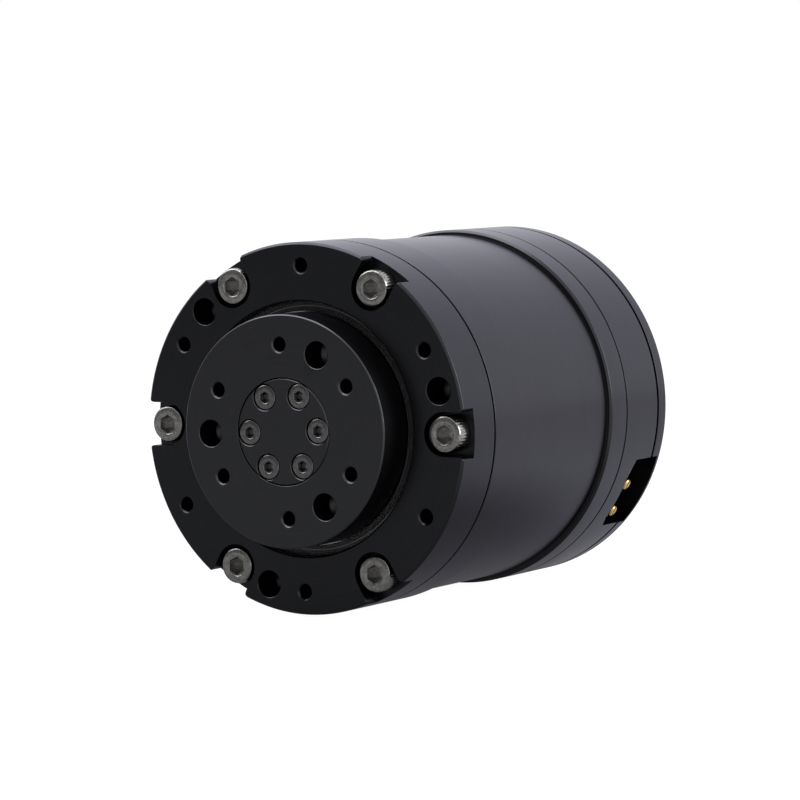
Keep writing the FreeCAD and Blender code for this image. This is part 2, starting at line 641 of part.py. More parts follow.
def bearing_section(inner, outer, front, back):
    """Return the roller track: a square on edge, turned about the axis."""
    reach = (SIZE.roller_diameter / 2 + SIZE.roller_gap / 2) * math.sqrt(2)
    middle = (inner + outer) / 4
    depth = (front + back) / 2
    corners = [VECTOR(middle - reach, 0, -depth), VECTOR(middle, 0, -depth + reach),
               VECTOR(middle + reach, 0, -depth), VECTOR(middle, 0, -depth - reach)]
    square = Part.Face(Part.makePolygon(corners + corners[:1]))
    return square.revolve(VECTOR(0, 0, 0), AXIS_Z, 360)


def make_output_bearing():
    """The crossed-roller bearing: two rings with square tracks and crossed rollers."""
    front, back = SIZE.lip_thickness, SIZE.bearing_back
    split = (SIZE.bearing_inner + SIZE.bearing_outer) / 2
    track = bearing_section(SIZE.bearing_inner, SIZE.bearing_outer, front, back)
    outer = tube(SIZE.bearing_outer, split + SIZE.ring_split * 2, front, back)
    inner = tube(split - SIZE.ring_split * 2, SIZE.bearing_inner, front, back)
    publish("output_bearing_outer_ring", outer.cut(track))
    publish("output_bearing_inner_ring", inner.cut(track))

    length = SIZE.roller_diameter - 4 * SIZE.roller_gap
    rollers = []
    for k in range(int(SIZE.roller_count)):
        roller = Part.makeCylinder(SIZE.roller_diameter / 2, length, VECTOR(0, 0, -length / 2))
        roller.rotate(VECTOR(0, 0, 0), VECTOR(0, 1, 0), 45 if k % 2 else -45)
        roller.translate(VECTOR(split / 2, 0, -(front + back) / 2))
        roller.rotate(VECTOR(0, 0, 0), AXIS_Z, 360.0 * k / SIZE.roller_count)
        rollers.append(roller)
    publish("output_bearing_rollers", Part.makeCompound(rollers))


# ---------------------------------------------------------------- output pieces

def make_output_flange():
    """The output flange: a proud disc, the bearing journal and two rings of holes."""
    body = new_body("output_flange")
    turned(body, "OutputBlank", [
        ("centre_bore", "cap_thickness - output_proud"),
        ("cap_diameter + 2 * cap_gap", "cap_thickness - output_proud"),
        ("cap_diameter + 2 * cap_gap", "-output_proud"),
        ("output_diameter - 2 * output_edge", "-output_proud"),
        ("output_diameter", "output_edge - output_proud"), ("output_diameter", "lip_thickness"),
        ("bearing_inner - 2 * fit_gap", "lip_thickness"),
        ("bearing_inner - 2 * fit_gap", "bearing_back"), ("centre_bore", "bearing_back")])
    DOC.recompute()
    hole_ring(body, "OutputTap", "mount_tap", "output_circle", "30 + output_turn", 6,
              "-output_proud", "output_tap_depth")
    hole_ring(body, "OutputDowel", "dowel_hole", "output_circle", "60 + output_turn", 3,
              "-output_proud", "output_dowel_depth")
    hole_ring(body, "CapTap", "tap_m2", "cap_circle", "output_turn", 6,
              "cap_thickness - output_proud", "cap_screw_length")
    hole_ring(body, "CarrierTap", "tap_m25", "post_circle", "30", 3, "output_proud",
              "bearing_back - output_proud")
    mouth_ring(body, "OutputTapMouth", "mount_tap", "tap_mouth", "output_circle",
               "30 + output_turn", 6, "-output_proud")
    mouth_ring(body, "OutputDowelMouth", "dowel_hole", "dowel_mouth", "output_circle",
               "60 + output_turn", 3, "-output_proud")
    return body


def make_output_cap():
    """The flush cap over the centre bore, with six counterbored screw holes."""
    body = new_body("output_cap")
    turned(body, "CapBlank", [
        ("0", "-output_proud"), ("cap_diameter - 2 * seam_edge", "-output_proud"),
        ("cap_diameter", "seam_edge - output_proud"), ("cap_diameter", "cap_thickness - output_proud"),
        ("0", "cap_thickness - output_proud")])
    DOC.recompute()
    hole_ring(body, "CapHole", "screw_hole_m2", "cap_circle", "output_turn", 6, "-output_proud",
              "cap_thickness")
    hole_ring(body, "CapSeat", "head_m2 + 2 * cap_seat_gap", "cap_circle", "output_turn", 6, "-output_proud",
              "head_height_m2 + head_sink")
    return body


def make_cap_screws():
    """The six screws that hold the cap."""
    screw = socket_screw(SIZE.head_m2, SIZE.head_height_m2, SIZE.socket_m2, SIZE.tap_m2,
                         SIZE.cap_screw_length)
    seated = placed_on_circle(screw, SIZE.cap_circle,
                              SIZE.head_height_m2 + SIZE.head_sink - SIZE.output_proud)
    publish("output_cap_screws", Part.makeCompound(around(seated, 6, SIZE.output_turn)))


def make_carrier(name, plate_front, plate_back, back_front, back_back, plate_hole, screw_hole):
    """A planet carrier: two plates joined by posts that stand between the planets."""
    body = new_body(name)
    turned(body, "FrontPlate", [(plate_hole, plate_front), ("carrier_diameter", plate_front),
                                ("carrier_diameter", plate_back), (plate_hole, plate_back)])
    DOC.recompute()
    post = new_sketch(body, "PostSketch", "XY_Plane", plate_back)
    circles(post, [("post_diameter",) + on_circle("post_circle", "30")])
    pad = extruded(body, "Post", post, "%s - (%s)" % (back_front, plate_back), cut=False)
    repeated(body, "PostRing", [pad], 3)
    DOC.recompute()
    turned(body, "BackPlate", [("carrier_eye", back_front), ("carrier_diameter", back_front),
                               ("carrier_diameter", back_back), ("carrier_eye", back_back)])
    DOC.recompute()
    reach = "gear_module * (sun_teeth + planet_teeth)"
    hole_ring(body, "PinHole", "pin_diameter", reach, "90", 3, "%s + pin_floor" % plate_front,
              "%s - (%s)" % (back_back, plate_front))
    if screw_hole:
        hole_ring(body, "ScrewHole", "screw_hole_m25", "post_circle", "30", 3, plate_front,
                  "%s - (%s)" % (back_back, plate_front))
        mouth_cone(body, "ScrewSeat", back_back)
    return body


def mouth_cone(body, name, depth):
    """Countersink the carrier screw holes from the rear."""
    sketch = new_sketch(body, name + "Sketch", "XY_Plane", "%s - output_back_plate" % depth)
    circles(sketch, [("screw_hole_m25",) + on_circle("post_circle", "30")])
    pocket = extruded(body, name, sketch, "output_back_plate")
    pocket.setExpression("TaperAngle", bound(
        "atan((head_m25 + 2 * seat_gap_m25 - screw_hole_m25) / (2 * output_back_plate))"))
    return repeated(body, name + "Ring", [pocket], 3)


def make_carrier_screws():
    """The three countersunk screws through the output carrier's posts."""
    back = SIZE.output_back_back
    head = Part.makeCone(SIZE.head_m25 / 2, SIZE.tap_m25 / 2,
                         SIZE.output_back_plate, VECTOR(0, 0, -back), AXIS_Z)
    shank_back = back - SIZE.shank_sink_m25
    shank = Part.makeCylinder(SIZE.tap_m25 / 2,
                              shank_back - SIZE.output_proud - SIZE.tap_runout_m2,
                              VECTOR(0, 0, -shank_back))
    corner = SIZE.socket_m25 / 2 / math.cos(math.pi / 6)
    key = Part.Face(Part.makePolygon([
        VECTOR(corner * math.cos(math.pi * k / 3), corner * math.sin(math.pi * k / 3), -back)
        for k in range(7)])).extrude(VECTOR(0, 0, SIZE.socket_depth_m25))
    screw = head.fuse(shank).removeSplitter().cut(key)
    screw.translate(VECTOR(SIZE.post_circle / 2, 0, 0))
    publish("carrier_screws", Part.makeCompound(around(screw, 3, 30)))


def make_planets(stage, front, back, pin_front, pin_back):
    """Three planets with their bushes, and the pins that carry them."""
    reach = centre_distance()
    hole = SIZE.pin_diameter + 2 * SIZE.bush_wall
    pins = []
    for k in range(int(SIZE.planet_count)):
        place = 90 + 360.0 * k / SIZE.planet_count
        offset = VECTOR(reach * math.cos(math.radians(place)),
                        reach * math.sin(math.radians(place)), 0)
        gear = spur_gear(SIZE.planet_teeth, PLANET_TIP, PLANET_ROOT, planet_turn(place),
                         front, back).cut(tube(hole, 0, front, back))
        bush = tube(hole, SIZE.pin_diameter + 2 * SIZE.running_gap, front, back)
        pins.append(cylinder_at(SIZE.pin_diameter, 2 * reach, place, pin_front, pin_back))
        gear.translate(offset)
        bush.translate(offset)
        publish("%s_planet_%d" % (stage, k + 1), gear)
        publish("%s_planet_bush_%d" % (stage, k + 1), bush)
    publish("%s_planet_pins" % stage, Part.makeCompound(pins))


def make_input_sun_shaft():
    """The output-stage sun with the hub that seats it in the input carrier."""
    gear = spur_gear(SIZE.sun_teeth, SUN_TIP, SUN_ROOT, sun_turn(90),
                     SIZE.output_gear_front, SIZE.output_gear_back)
    hub = tube(SIZE.hub_diameter, 0, SIZE.output_gear_back, SIZE.input_plate_back)
    publish("output_sun", gear.fuse(hub))


def make_washer():
    """The thrust washer that keeps the input carrier off the output carrier."""
    publish("thrust_washer", tube(SIZE.carrier_eye + 2 * SIZE.washer_rim, SIZE.carrier_eye,
                                  SIZE.output_back_back,
                                  SIZE.output_back_back + SIZE.washer_thickness))


# ---------------------------------------------------------------- motor

def make_rotor():
    """The rotor: a bell with its magnets, and a shaft that ends in the input sun."""
    body = new_body("rotor_bell")
    turned(body, "BellBlank", [
        ("shaft_diameter", "bell_front"), ("bell_diameter", "bell_front"),
        ("bell_diameter", "bell_back"), ("bell_bore", "bell_back"),
        ("bell_bore", "bell_front + bell_disc"),
        ("shaft_diameter + 2 * bell_hub_wall", "bell_front + bell_disc"),
        ("shaft_diameter + 2 * bell_hub_wall", "front_race_front"),
        ("shaft_diameter", "front_race_front")])
    front = SIZE.stack_front - SIZE.magnet_overhang
    back = SIZE.stack_back + SIZE.magnet_overhang
    ring = tube(SIZE.bell_bore, SIZE.magnet_bore, front, back)
    half = math.radians(180.0 / SIZE.pole_count * SIZE.pole_cover)
    wedge = Part.Face(Part.makePolygon([
        VECTOR(0, 0, -back), polar(SIZE.bell_bore, -half) - VECTOR(0, 0, back),
        polar(SIZE.bell_bore, half) - VECTOR(0, 0, back), VECTOR(0, 0, -back)]))
    magnet = ring.common(wedge.extrude(VECTOR(0, 0, back - front)))
    publish("rotor_magnets", Part.makeCompound(around(magnet, SIZE.pole_count)))

    shaft_end = SIZE.rear_race_back
    neck = SIZE.gear_module * (SIZE.sun_teeth / 2 - SUN_ROOT) * 2
    journal = tube(SIZE.shaft_diameter, 0, SIZE.bulkhead_back, shaft_end)
    throat = tube(neck, 0, SIZE.input_gear_back, SIZE.bulkhead_back)
    sun = spur_gear(SIZE.sun_teeth, SUN_TIP, SUN_ROOT, sun_turn(90),
                    SIZE.input_gear_front, SIZE.input_gear_back)
    seat = tube(SIZE.magnet_puck, 0, shaft_end - SIZE.puck_thickness + SIZE.puck_proud, shaft_end)
    publish("rotor_shaft", journal.fuse([throat, sun]).cut(seat))
    puck_front = shaft_end - SIZE.puck_thickness + SIZE.puck_proud
    publish("encoder_magnet", tube(SIZE.magnet_puck, 0, puck_front, shaft_end + SIZE.puck_proud))
    return body


def make_rotor_bearings():
    """The two sealed rotor bearings and the spacer between their outer rings."""
    middle = (SIZE.shaft_diameter + SIZE.rotor_bearing_outer) / 2
    for place, front in (("front", SIZE.front_race_front), ("rear", SIZE.rear_race_front)):
        back = front + SIZE.rotor_bearing_width
        publish("rotor_bearing_outer_%s" % place,
                tube(SIZE.rotor_bearing_outer, middle + SIZE.race_wall, front, back))
        publish("rotor_bearing_inner_%s" % place,
                tube(middle - SIZE.race_wall, SIZE.shaft_diameter, front, back))
    publish("bearing_spacer", tube(SIZE.rotor_bearing_outer, middle + SIZE.race_wall,
                                   SIZE.front_race_back, SIZE.rear_race_front))


def make_stator():
    """The laminated stator core with its wound coils and three phase leads."""
    front, back = SIZE.stack_front, SIZE.stack_back
    outer = SIZE.stator_diameter / 2
    shoe_in = outer - SIZE.shoe_depth
    yoke = SIZE.stator_bore / 2 + SIZE.yoke_wall
    pitch = 360.0 / SIZE.slot_count
    foot = yoke - SIZE.tooth_sink
    tooth = Part.makeBox(shoe_in + SIZE.shoe_sink - foot, SIZE.tooth_width, back - front,
                         VECTOR(foot, -SIZE.tooth_width / 2, -back))
    half = math.radians(pitch / 2 * SIZE.shoe_cover)
    sector = Part.Face(Part.makePolygon([
        VECTOR(0, 0, -back), polar(2 * outer, -half) - VECTOR(0, 0, back),
        polar(2 * outer, half) - VECTOR(0, 0, back), VECTOR(0, 0, -back)]))
    shoe = tube(2 * outer, 2 * shoe_in, front, back).common(
        sector.extrude(VECTOR(0, 0, back - front)))
    arms = around(tooth.fuse(shoe), SIZE.slot_count)
    core = tube(2 * yoke, SIZE.stator_bore, front, back).fuse(arms)
    publish("stator_core", core.removeSplitter())

    gap = SIZE.fit_gap
    under_shoe = math.sqrt(shoe_in ** 2 - (SIZE.tooth_width / 2 + SIZE.coil_wall) ** 2) - gap
    coil_front = yoke + SIZE.coil_foot
    inner_box = Part.makeBox(under_shoe - coil_front, SIZE.tooth_width + 2 * gap,
                             back - front + 2 * gap,
                             VECTOR(coil_front, -SIZE.tooth_width / 2 - gap, -back - gap))
    outer_box = Part.makeBox(under_shoe - coil_front, SIZE.tooth_width + 2 * SIZE.coil_wall,
                             back - front + 2 * SIZE.coil_wall,
                             VECTOR(coil_front, -SIZE.tooth_width / 2 - SIZE.coil_wall,
                                    -back - SIZE.coil_wall))
    coil = outer_box.cut(inner_box)
    publish("stator_windings", Part.makeCompound(around(coil, SIZE.slot_count)))
    leads = []
    for k in range(3):
        leads.append(cylinder_at(SIZE.lead_diameter, SIZE.lead_circle, 90 + 120 * k,
                                 back + SIZE.coil_wall, SIZE.board_front))
    publish("phase_leads", Part.makeCompound(leads))


# ---------------------------------------------------------------- electronics

def make_board():
    """The driver board on its bosses, with a flat for the connector and its screws."""
    body = new_body("driver_board")
    turned(body, "BoardBlank", [("0", "board_front"), ("board_diameter", "board_front"),
                                ("board_diameter", "board_back"), ("0", "board_back")])
    DOC.recompute()
    hole_ring(body, "BoardHole", "screw_hole_m2", "boss_circle", "30", 3, "board_front",
              "board_thickness")
    screw = socket_screw(SIZE.head_m2, SIZE.head_height_m2, SIZE.socket_m2, SIZE.tap_m2,
                         SIZE.board_screw_length)
    screw.rotate(VECTOR(0, 0, 0), VECTOR(1, 0, 0), 180)
    seated = placed_on_circle(screw, SIZE.boss_circle, SIZE.board_back)
    publish("board_screws", Part.makeCompound(around(seated, 3, 30)))
    publish("encoder_chip", square_package(SIZE.encoder_side, SIZE.chip_thickness,
                                           -SIZE.board_front))
    return body


def square_package(side, height, low):
    """Return a square chip about the axis, standing on a given height."""
    return Part.makeBox(side, side, height, VECTOR(-side / 2, -side / 2, low))


def make_board_components():
    """The power transistors, the controller and the capacitors on the board's rear face."""
    low = -SIZE.board_back - SIZE.package_height
    parts = []
    for k in range(6):
        transistor = Part.makeBox(SIZE.transistor_length, SIZE.transistor_width,
                                  SIZE.package_height,
                                  VECTOR(SIZE.transistor_reach, -SIZE.transistor_width / 2, low))
        transistor.rotate(VECTOR(0, 0, 0), AXIS_Z, SIZE.transistor_first + SIZE.transistor_step * k)
        parts.append(transistor)
    parts.append(square_package(SIZE.controller_side, SIZE.package_height, low))
    for k in range(3):
        parts.append(cylinder_at(SIZE.capacitor_diameter, SIZE.capacitor_circle, 60 + 60 * k,
                                 SIZE.board_back, SIZE.board_back + SIZE.capacitor_height))
    publish("board_components", Part.makeCompound(parts))


def connector_place(shape):
    """Turn a shape modelled along +X to the connector's place in the window."""
    copy = shape.copy()
    copy.rotate(VECTOR(0, 0, 0), AXIS_Z, SIZE.connector_turn)
    return copy


def connector_block(width, neck, ear, height, start, end, wall):
    """Return a block along +X with two bevelled edges, shrunk all round by a wall."""
    front = SIZE.board_back
    half = width / 2 - wall
    narrow = neck / 2 - wall * 0.5
    low = -front - height + wall
    high = -front - wall
    bevel = high - ear
    corners = [VECTOR(start, -half, low), VECTOR(start, half, low), VECTOR(start, half, bevel),
               VECTOR(start, narrow, high), VECTOR(start, -narrow, high),
               VECTOR(start, -half, bevel)]
    face = Part.Face(Part.makePolygon(corners + corners[:1]))
    return face.extrude(VECTOR(end - start, 0, 0))


def make_connectors():
    """The power and signal connector in the window: its shell, power pins and signal pins."""
    wall = SIZE.connector_wall
    width = SIZE.connector_width
    height = SIZE.connector_height
    reach = SIZE.connector_reach
    ear = SIZE.window_ear
    neck = width - (SIZE.window_width - SIZE.window_neck)
    shell = connector_block(width, neck, ear, height, reach - SIZE.connector_length, reach, 0)
    cavity = connector_block(width, neck, ear, height, reach - SIZE.connector_cavity, reach, wall)
    shell = shell.cut(cavity)
    floor = reach - SIZE.connector_cavity
    depth = SIZE.pin_depth

    power = []
    for side in (-0.5, 0.5):
        place = SIZE.power_offset + side * SIZE.power_spacing
        pin = Part.makeCylinder(SIZE.power_pin / 2, SIZE.power_reach - floor,
                                VECTOR(floor, place, -depth), VECTOR(1, 0, 0))
        slit = Part.makeBox(SIZE.power_reach - floor, SIZE.power_pin * 2, SIZE.slit_width,
                            VECTOR(floor + SIZE.slit_floor, place - SIZE.power_pin,
                                   -depth - SIZE.slit_width / 2))
        power.append(connector_place(pin.cut(slit)))
    publish("power_pins", Part.makeCompound(power))

    signal = []
    row = -SIZE.board_back - height / 2
    for side in (-0.5, 0.5):
        signal.append(connector_place(Part.makeCylinder(
            SIZE.signal_pin / 2, SIZE.connector_cavity - SIZE.signal_inset,
            VECTOR(floor, SIZE.signal_offset, row + side * SIZE.signal_spacing),
            VECTOR(1, 0, 0))))
    publish("signal_pins", Part.makeCompound(signal))
    publish("connector_shell", connector_place(shell))


# ---------------------------------------------------------------- build and export

def exported_pieces():
    """Return every body and published shape of the document."""
    return [item for item in DOC.Objects
            if item.TypeId in ("PartDesign::Body", "Part::Feature") and item.Label == item.Name
            and item.getParentGeoFeatureGroup() is None]


def check_document(pieces):
    """Stop if any object failed or any piece is empty or not a valid solid."""
    for item in DOC.Objects:
        if "Invalid" in item.State or "Error" in item.State:
            raise RuntimeError("%s failed: %s" % (item.Name, item.getStatusString()))
    for piece in pieces:
        if piece.Shape.isNull() or not piece.Shape.isValid() or not piece.Shape.Solids:
            raise RuntimeError("%s has no valid solid" % piece.Name)


def main():
    """Build the actuator and write one STEP file for each piece."""
    write_sizes()
    make_front_flange()
    make_main_housing()
    make_driver_housing()
    make_rear_cover()
    make_housing_details()
    make_output_bearing()
    make_output_flange()
    make_output_cap()
    make_cap_screws()
    make_carrier("output_carrier", "bearing_back", "output_plate_back", "output_back_front",
                 "output_back_back", "centre_bore", screw_hole=True)
    make_carrier_screws()
    make_planets("output", SIZE.output_gear_front, SIZE.output_gear_back,
                 SIZE.bearing_back + SIZE.pin_floor, SIZE.output_back_back)
    make_carrier("input_carrier", "input_plate_front", "input_plate_back", "input_back_front",
                 "input_back_back", "hub_diameter", screw_hole=False)
    make_planets("input", SIZE.input_gear_front, SIZE.input_gear_back,
                 SIZE.input_plate_front + SIZE.pin_floor, SIZE.input_back_back)
    make_input_sun_shaft()
    make_washer()
    make_rotor()
    make_rotor_bearings()
    make_stator()
    make_board()
    make_board_components()
    make_connectors()
    DOC.recompute()

    pieces = exported_pieces()
    check_document(pieces)
    os.makedirs("parts", exist_ok=True)
    for piece in pieces:
        piece.Shape.exportStep("parts/%s.step" % piece.Label)
    print("%d pieces, %.1f cm3" % (len(pieces), sum(p.Shape.Volume for p in pieces) / 1000))


main()
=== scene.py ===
"""Looks of a geared robot joint actuator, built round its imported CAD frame.

The actuator lies along Y with its output facing -Y and +Z up.  A radius is measured from that
axis and a depth from the front flange's mounting face towards +Y, both in millimetres.  A turn
is an angle in degrees from +X towards +Z.
"""
import logging
import math
from dataclasses import dataclass, replace
from enum import Enum
from typing import Sequence

import bpy
from mathutils import Matrix, Vector


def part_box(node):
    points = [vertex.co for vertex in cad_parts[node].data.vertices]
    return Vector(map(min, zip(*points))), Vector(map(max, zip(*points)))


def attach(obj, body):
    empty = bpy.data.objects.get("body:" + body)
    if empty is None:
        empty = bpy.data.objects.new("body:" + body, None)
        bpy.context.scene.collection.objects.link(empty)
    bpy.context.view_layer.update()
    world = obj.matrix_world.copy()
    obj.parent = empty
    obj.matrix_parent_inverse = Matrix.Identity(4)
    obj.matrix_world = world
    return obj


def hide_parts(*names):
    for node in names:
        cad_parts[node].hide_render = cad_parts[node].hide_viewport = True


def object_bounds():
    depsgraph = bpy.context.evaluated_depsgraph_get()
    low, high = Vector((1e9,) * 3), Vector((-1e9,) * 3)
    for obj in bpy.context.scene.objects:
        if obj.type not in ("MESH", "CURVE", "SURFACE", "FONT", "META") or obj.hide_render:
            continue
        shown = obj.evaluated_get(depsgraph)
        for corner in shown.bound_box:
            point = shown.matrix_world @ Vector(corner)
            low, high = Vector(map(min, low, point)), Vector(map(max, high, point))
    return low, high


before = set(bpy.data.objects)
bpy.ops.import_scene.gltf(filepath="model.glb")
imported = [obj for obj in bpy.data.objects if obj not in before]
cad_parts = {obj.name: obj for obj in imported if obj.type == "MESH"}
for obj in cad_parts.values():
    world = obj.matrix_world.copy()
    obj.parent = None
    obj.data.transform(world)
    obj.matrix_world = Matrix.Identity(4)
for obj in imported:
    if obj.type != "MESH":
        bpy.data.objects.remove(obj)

CAD_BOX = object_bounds()
MM = 0.001
WELD = 1e-6
SENSOR = 36.0
# Fine dark joints: the open width of each, and the depth and broken edge of all.
JOINT_WIDE = 0.40
JOINT_FINE = 0.32
JOINT_COVER = 0.60
JOINT_DEPTH = 0.6
JOINT_LIP = 0.05
# Cutting tools: how far one reaches past a face, and the slope of a drill's point.
PAST = 1.0
POINT_SLOPE = 0.58
# Broken edges: at a rim, and at the mouths of tapped and dowel holes.
RIM_EDGE = 0.35
TAP_MOUTH = 0.3
DOWEL_MOUTH = 0.15
# Shaders: noise scales per metre, how far lathe rings wander, how long scratches run.
PATCH_SCALE = 90.0
WANDER_SCALE = 140.0
WANDER = 4.0
SCRATCH = 0.06
COAT_ROUGHNESS = 0.12
LOG = logging.getLogger("actuator")

Piece = bpy.types.Object
Pair = tuple[float, float]
Profile = Sequence[Pair]
Triple = tuple[float, float, float]


# ---- shader maths

class Wire:
    """A shader socket whose operators add Math nodes."""

    def __init__(self, graph: "Graph", socket: bpy.types.NodeSocket) -> None:
        """Keep the socket and the graph it belongs to."""
        self.graph = graph
        self.socket = socket

    def __add__(self, other: "Wire | float") -> "Wire":
        """Add a value or a wire."""
        return self.graph.maths("ADD", self, other)

    def __rsub__(self, other: float) -> "Wire":
        """Take this wire away from a value."""
        return self.graph.maths("SUBTRACT", other, self)

    def __mul__(self, other: "Wire | float") -> "Wire":
        """Multiply by a value or a wire."""
        return self.graph.maths("MULTIPLY", self, other)

    def __pow__(self, other: float) -> "Wire":
        """Raise to a power."""
        return self.graph.maths("POWER", self, other)


class Graph:
    """The node tree of a material or a world, built one node at a time."""

    def __init__(self, tree: bpy.types.NodeTree) -> None:
        """Start from an empty tree."""
        self.tree = tree
        tree.nodes.clear()

    def add(self, kind: str, settings: dict | None = None, inputs: dict | None = None,
            output: int | str = 0) -> Wire:
        """Add a node.

        Args:
            kind: The node's type name after ShaderNode.
            settings: Node properties, set before its sockets.
            inputs: Values or wires for its sockets, by name or number.
            output: Which of its outputs is wanted.

        Returns:
            The wire of the wanted output.
        """
        node = self.tree.nodes.new("ShaderNode" + kind)
        for name, value in (settings or {}).items():
            setattr(node, name, value)
        for name, value in (inputs or {}).items():
            socket = node.inputs[name]
            if isinstance(value, Wire):
                self.tree.links.new(value.socket, socket)
            else:
                socket.default_value = value
        return Wire(self, node.outputs[output] if node.outputs else None)

    def maths(self, operation: str, *values: Wire | float) -> Wire:
        """Add a Math node."""
        return self.add("Math", {"operation": operation},
                        dict(enumerate(values)))

    def vector(self, operation: str, *values: Wire | Sequence[float]) -> Wire:
        """Add a Vector Math node and return its vector."""
        return self.add("VectorMath", {"operation": operation},
                        dict(enumerate(values)))

    def parts(self, vector: Wire) -> list[Wire]:
        """Return the X, Y and Z of a vector."""
        split = self.add("SeparateXYZ", None, {0: vector})
        return [Wire(self, socket) for socket in split.socket.node.outputs]

    @staticmethod
    def length(one: Wire, two: Wire) -> Wire:
        """Return the length of a flat vector from its two parts."""
        return (one * one + two * two) ** 0.5

    def along(self, one: Wire, direction: Sequence[float]) -> Wire:
        """Return how far a vector points along a direction."""
        return self.add("VectorMath", {"operation": "DOT_PRODUCT"},
                        {0: one, 1: direction}, "Value")

    def smooth(self, value: Wire, low: float, high: float) -> Wire:
        """Return a smooth step from 0 at low to 1 at high."""
        return self.add("MapRange", {"interpolation_type": "SMOOTHSTEP"},
                        {"Value": value, "From Min": low, "From Max": high})

    def blend(self, factor: Wire, one: Triple, two: Triple) -> Wire:
        """Mix two colours."""
        return self.add("Mix", {"data_type": "RGBA"},
                        {0: factor, 6: (*one, 1.0), 7: (*two, 1.0)}, 2)

    def noise(self, vector: Wire, scale: float, detail: float) -> Wire:
        """Add a noise texture and return its height from 0 to 1."""
        return self.add("TexNoise", {"noise_dimensions": "3D"},
                        {"Vector": vector, "Scale": scale, "Detail": detail}, 0)


# ---- finishes

class Grain(Enum):
    """The fine pattern that making a surface leaves on it."""

    TURNED = "rings of a lathe tool"
    GROUND = "short straight scratches"
    BLASTED = "even fine pits"
    WOUND = "turns of enamelled wire"
    STACKED = "edges of thin sheets"
    MOULDED = "soft orange peel"
    ROUTED = "tracks under a solder mask"


@dataclass(frozen=True)
class Finish:
    """A surface finish: its colour, gloss and grain.

    Attributes:
        name: The material's name.
        colour: The main colour.
        shade: The colour in the low parts of the grain.
        metallic: 1 for bare metal, 0 for a coating or plastic.
        roughness: The middle of the roughness.
        swing: How far the roughness moves over the grain.
        grain: The kind of grain.
        pitch: The grain's spacing in millimetres.
        relief: The grain's height in millimetres.
        patches: How strongly broad soft patches change the tone.
        specular: The specular level of a coating.
        coat: The weight of a clear coat.
        edge_tint: The tint of reflections at a low angle.
    """

    name: str
    colour: Triple
    shade: Triple
    metallic: float = 1.0
    roughness: float = 0.35
    swing: float = 0.08
    grain: Grain = Grain.TURNED
    pitch: float = 0.12
    relief: float = 0.002
    patches: float = 0.15
    specular: float = 0.5
    coat: float = 0.0
    edge_tint: Triple = (1.0, 1.0, 1.0)

    def build(self) -> bpy.types.Material:
        """Make the material.

        Returns:
            A new material with its nodes wired.
        """
        material = bpy.data.materials.new(self.name)
        material.use_nodes = True
        material.diffuse_color = (*self.colour, 1.0)
        graph = Graph(material.node_tree)
        place = graph.add("TexCoord", output="Object")
        height = self._height(graph, place)
        broad = graph.noise(place, PATCH_SCALE, 3.0)
        low = graph.smooth(height * (1.0 - self.patches) + broad * self.patches, 0.2, 0.75)
        tone = graph.blend(low, self.shade, self.colour)
        rough = height * self.swing + broad * (self.swing * 0.7) + (
            self.roughness - self.swing * 0.85)
        bump = graph.add("Bump", None, {
            "Height": height, "Strength": 1.0, "Distance": self.relief * MM})
        shader = graph.add("BsdfPrincipled", None, {
            "Base Color": tone, "Roughness": rough, "Normal": bump,
            "Metallic": self.metallic, "Specular IOR Level": self.specular,
            "Specular Tint": (*self.edge_tint, 1.0),
            "Coat Weight": self.coat, "Coat Roughness": COAT_ROUGHNESS})
        graph.add("OutputMaterial", None, {"Surface": shader})
        return material

    def _height(self, graph: Graph, place: Wire) -> Wire:
        """Return the grain's height from 0 to 1 at a place on the object."""
        scale = 1.0 / (self.pitch * MM)
        x, y, z = graph.parts(place)
        if self.grain is Grain.TURNED:
            rings = graph.add("CombineXYZ", None, {
                0: graph.length(x, z) * scale, 1: y * scale,
                2: graph.noise(place, WANDER_SCALE, 1.0) * WANDER})
            return graph.noise(rings, 1.0, 3.0)
        if self.grain is Grain.WOUND:
            turn = graph.maths("ARCTAN2", z, x)
            return graph.maths("PINGPONG", graph.length(x, z) * scale + turn * 4.0, 0.5) * 2.0
        if self.grain is Grain.STACKED:
            return graph.smooth(graph.maths("PINGPONG", y * scale, 0.5), 0.03, 0.12)
        if self.grain is Grain.GROUND:
            streaks = graph.vector("MULTIPLY", place, (scale, scale * SCRATCH, scale))
            return graph.noise(streaks, 1.0, 3.0)
        if self.grain is Grain.ROUTED:
            cells = graph.add("TexBrick", {"offset": 0.5}, {
                "Vector": place, "Scale": scale, "Mortar Size": 0.06, "Brick Width": 3.0,
                "Row Height": 0.5}, "Fac")
            return 1.0 - cells * 0.8
        detail = 4.0 if self.grain is Grain.BLASTED else 1.0
        return graph.noise(place, scale, detail)


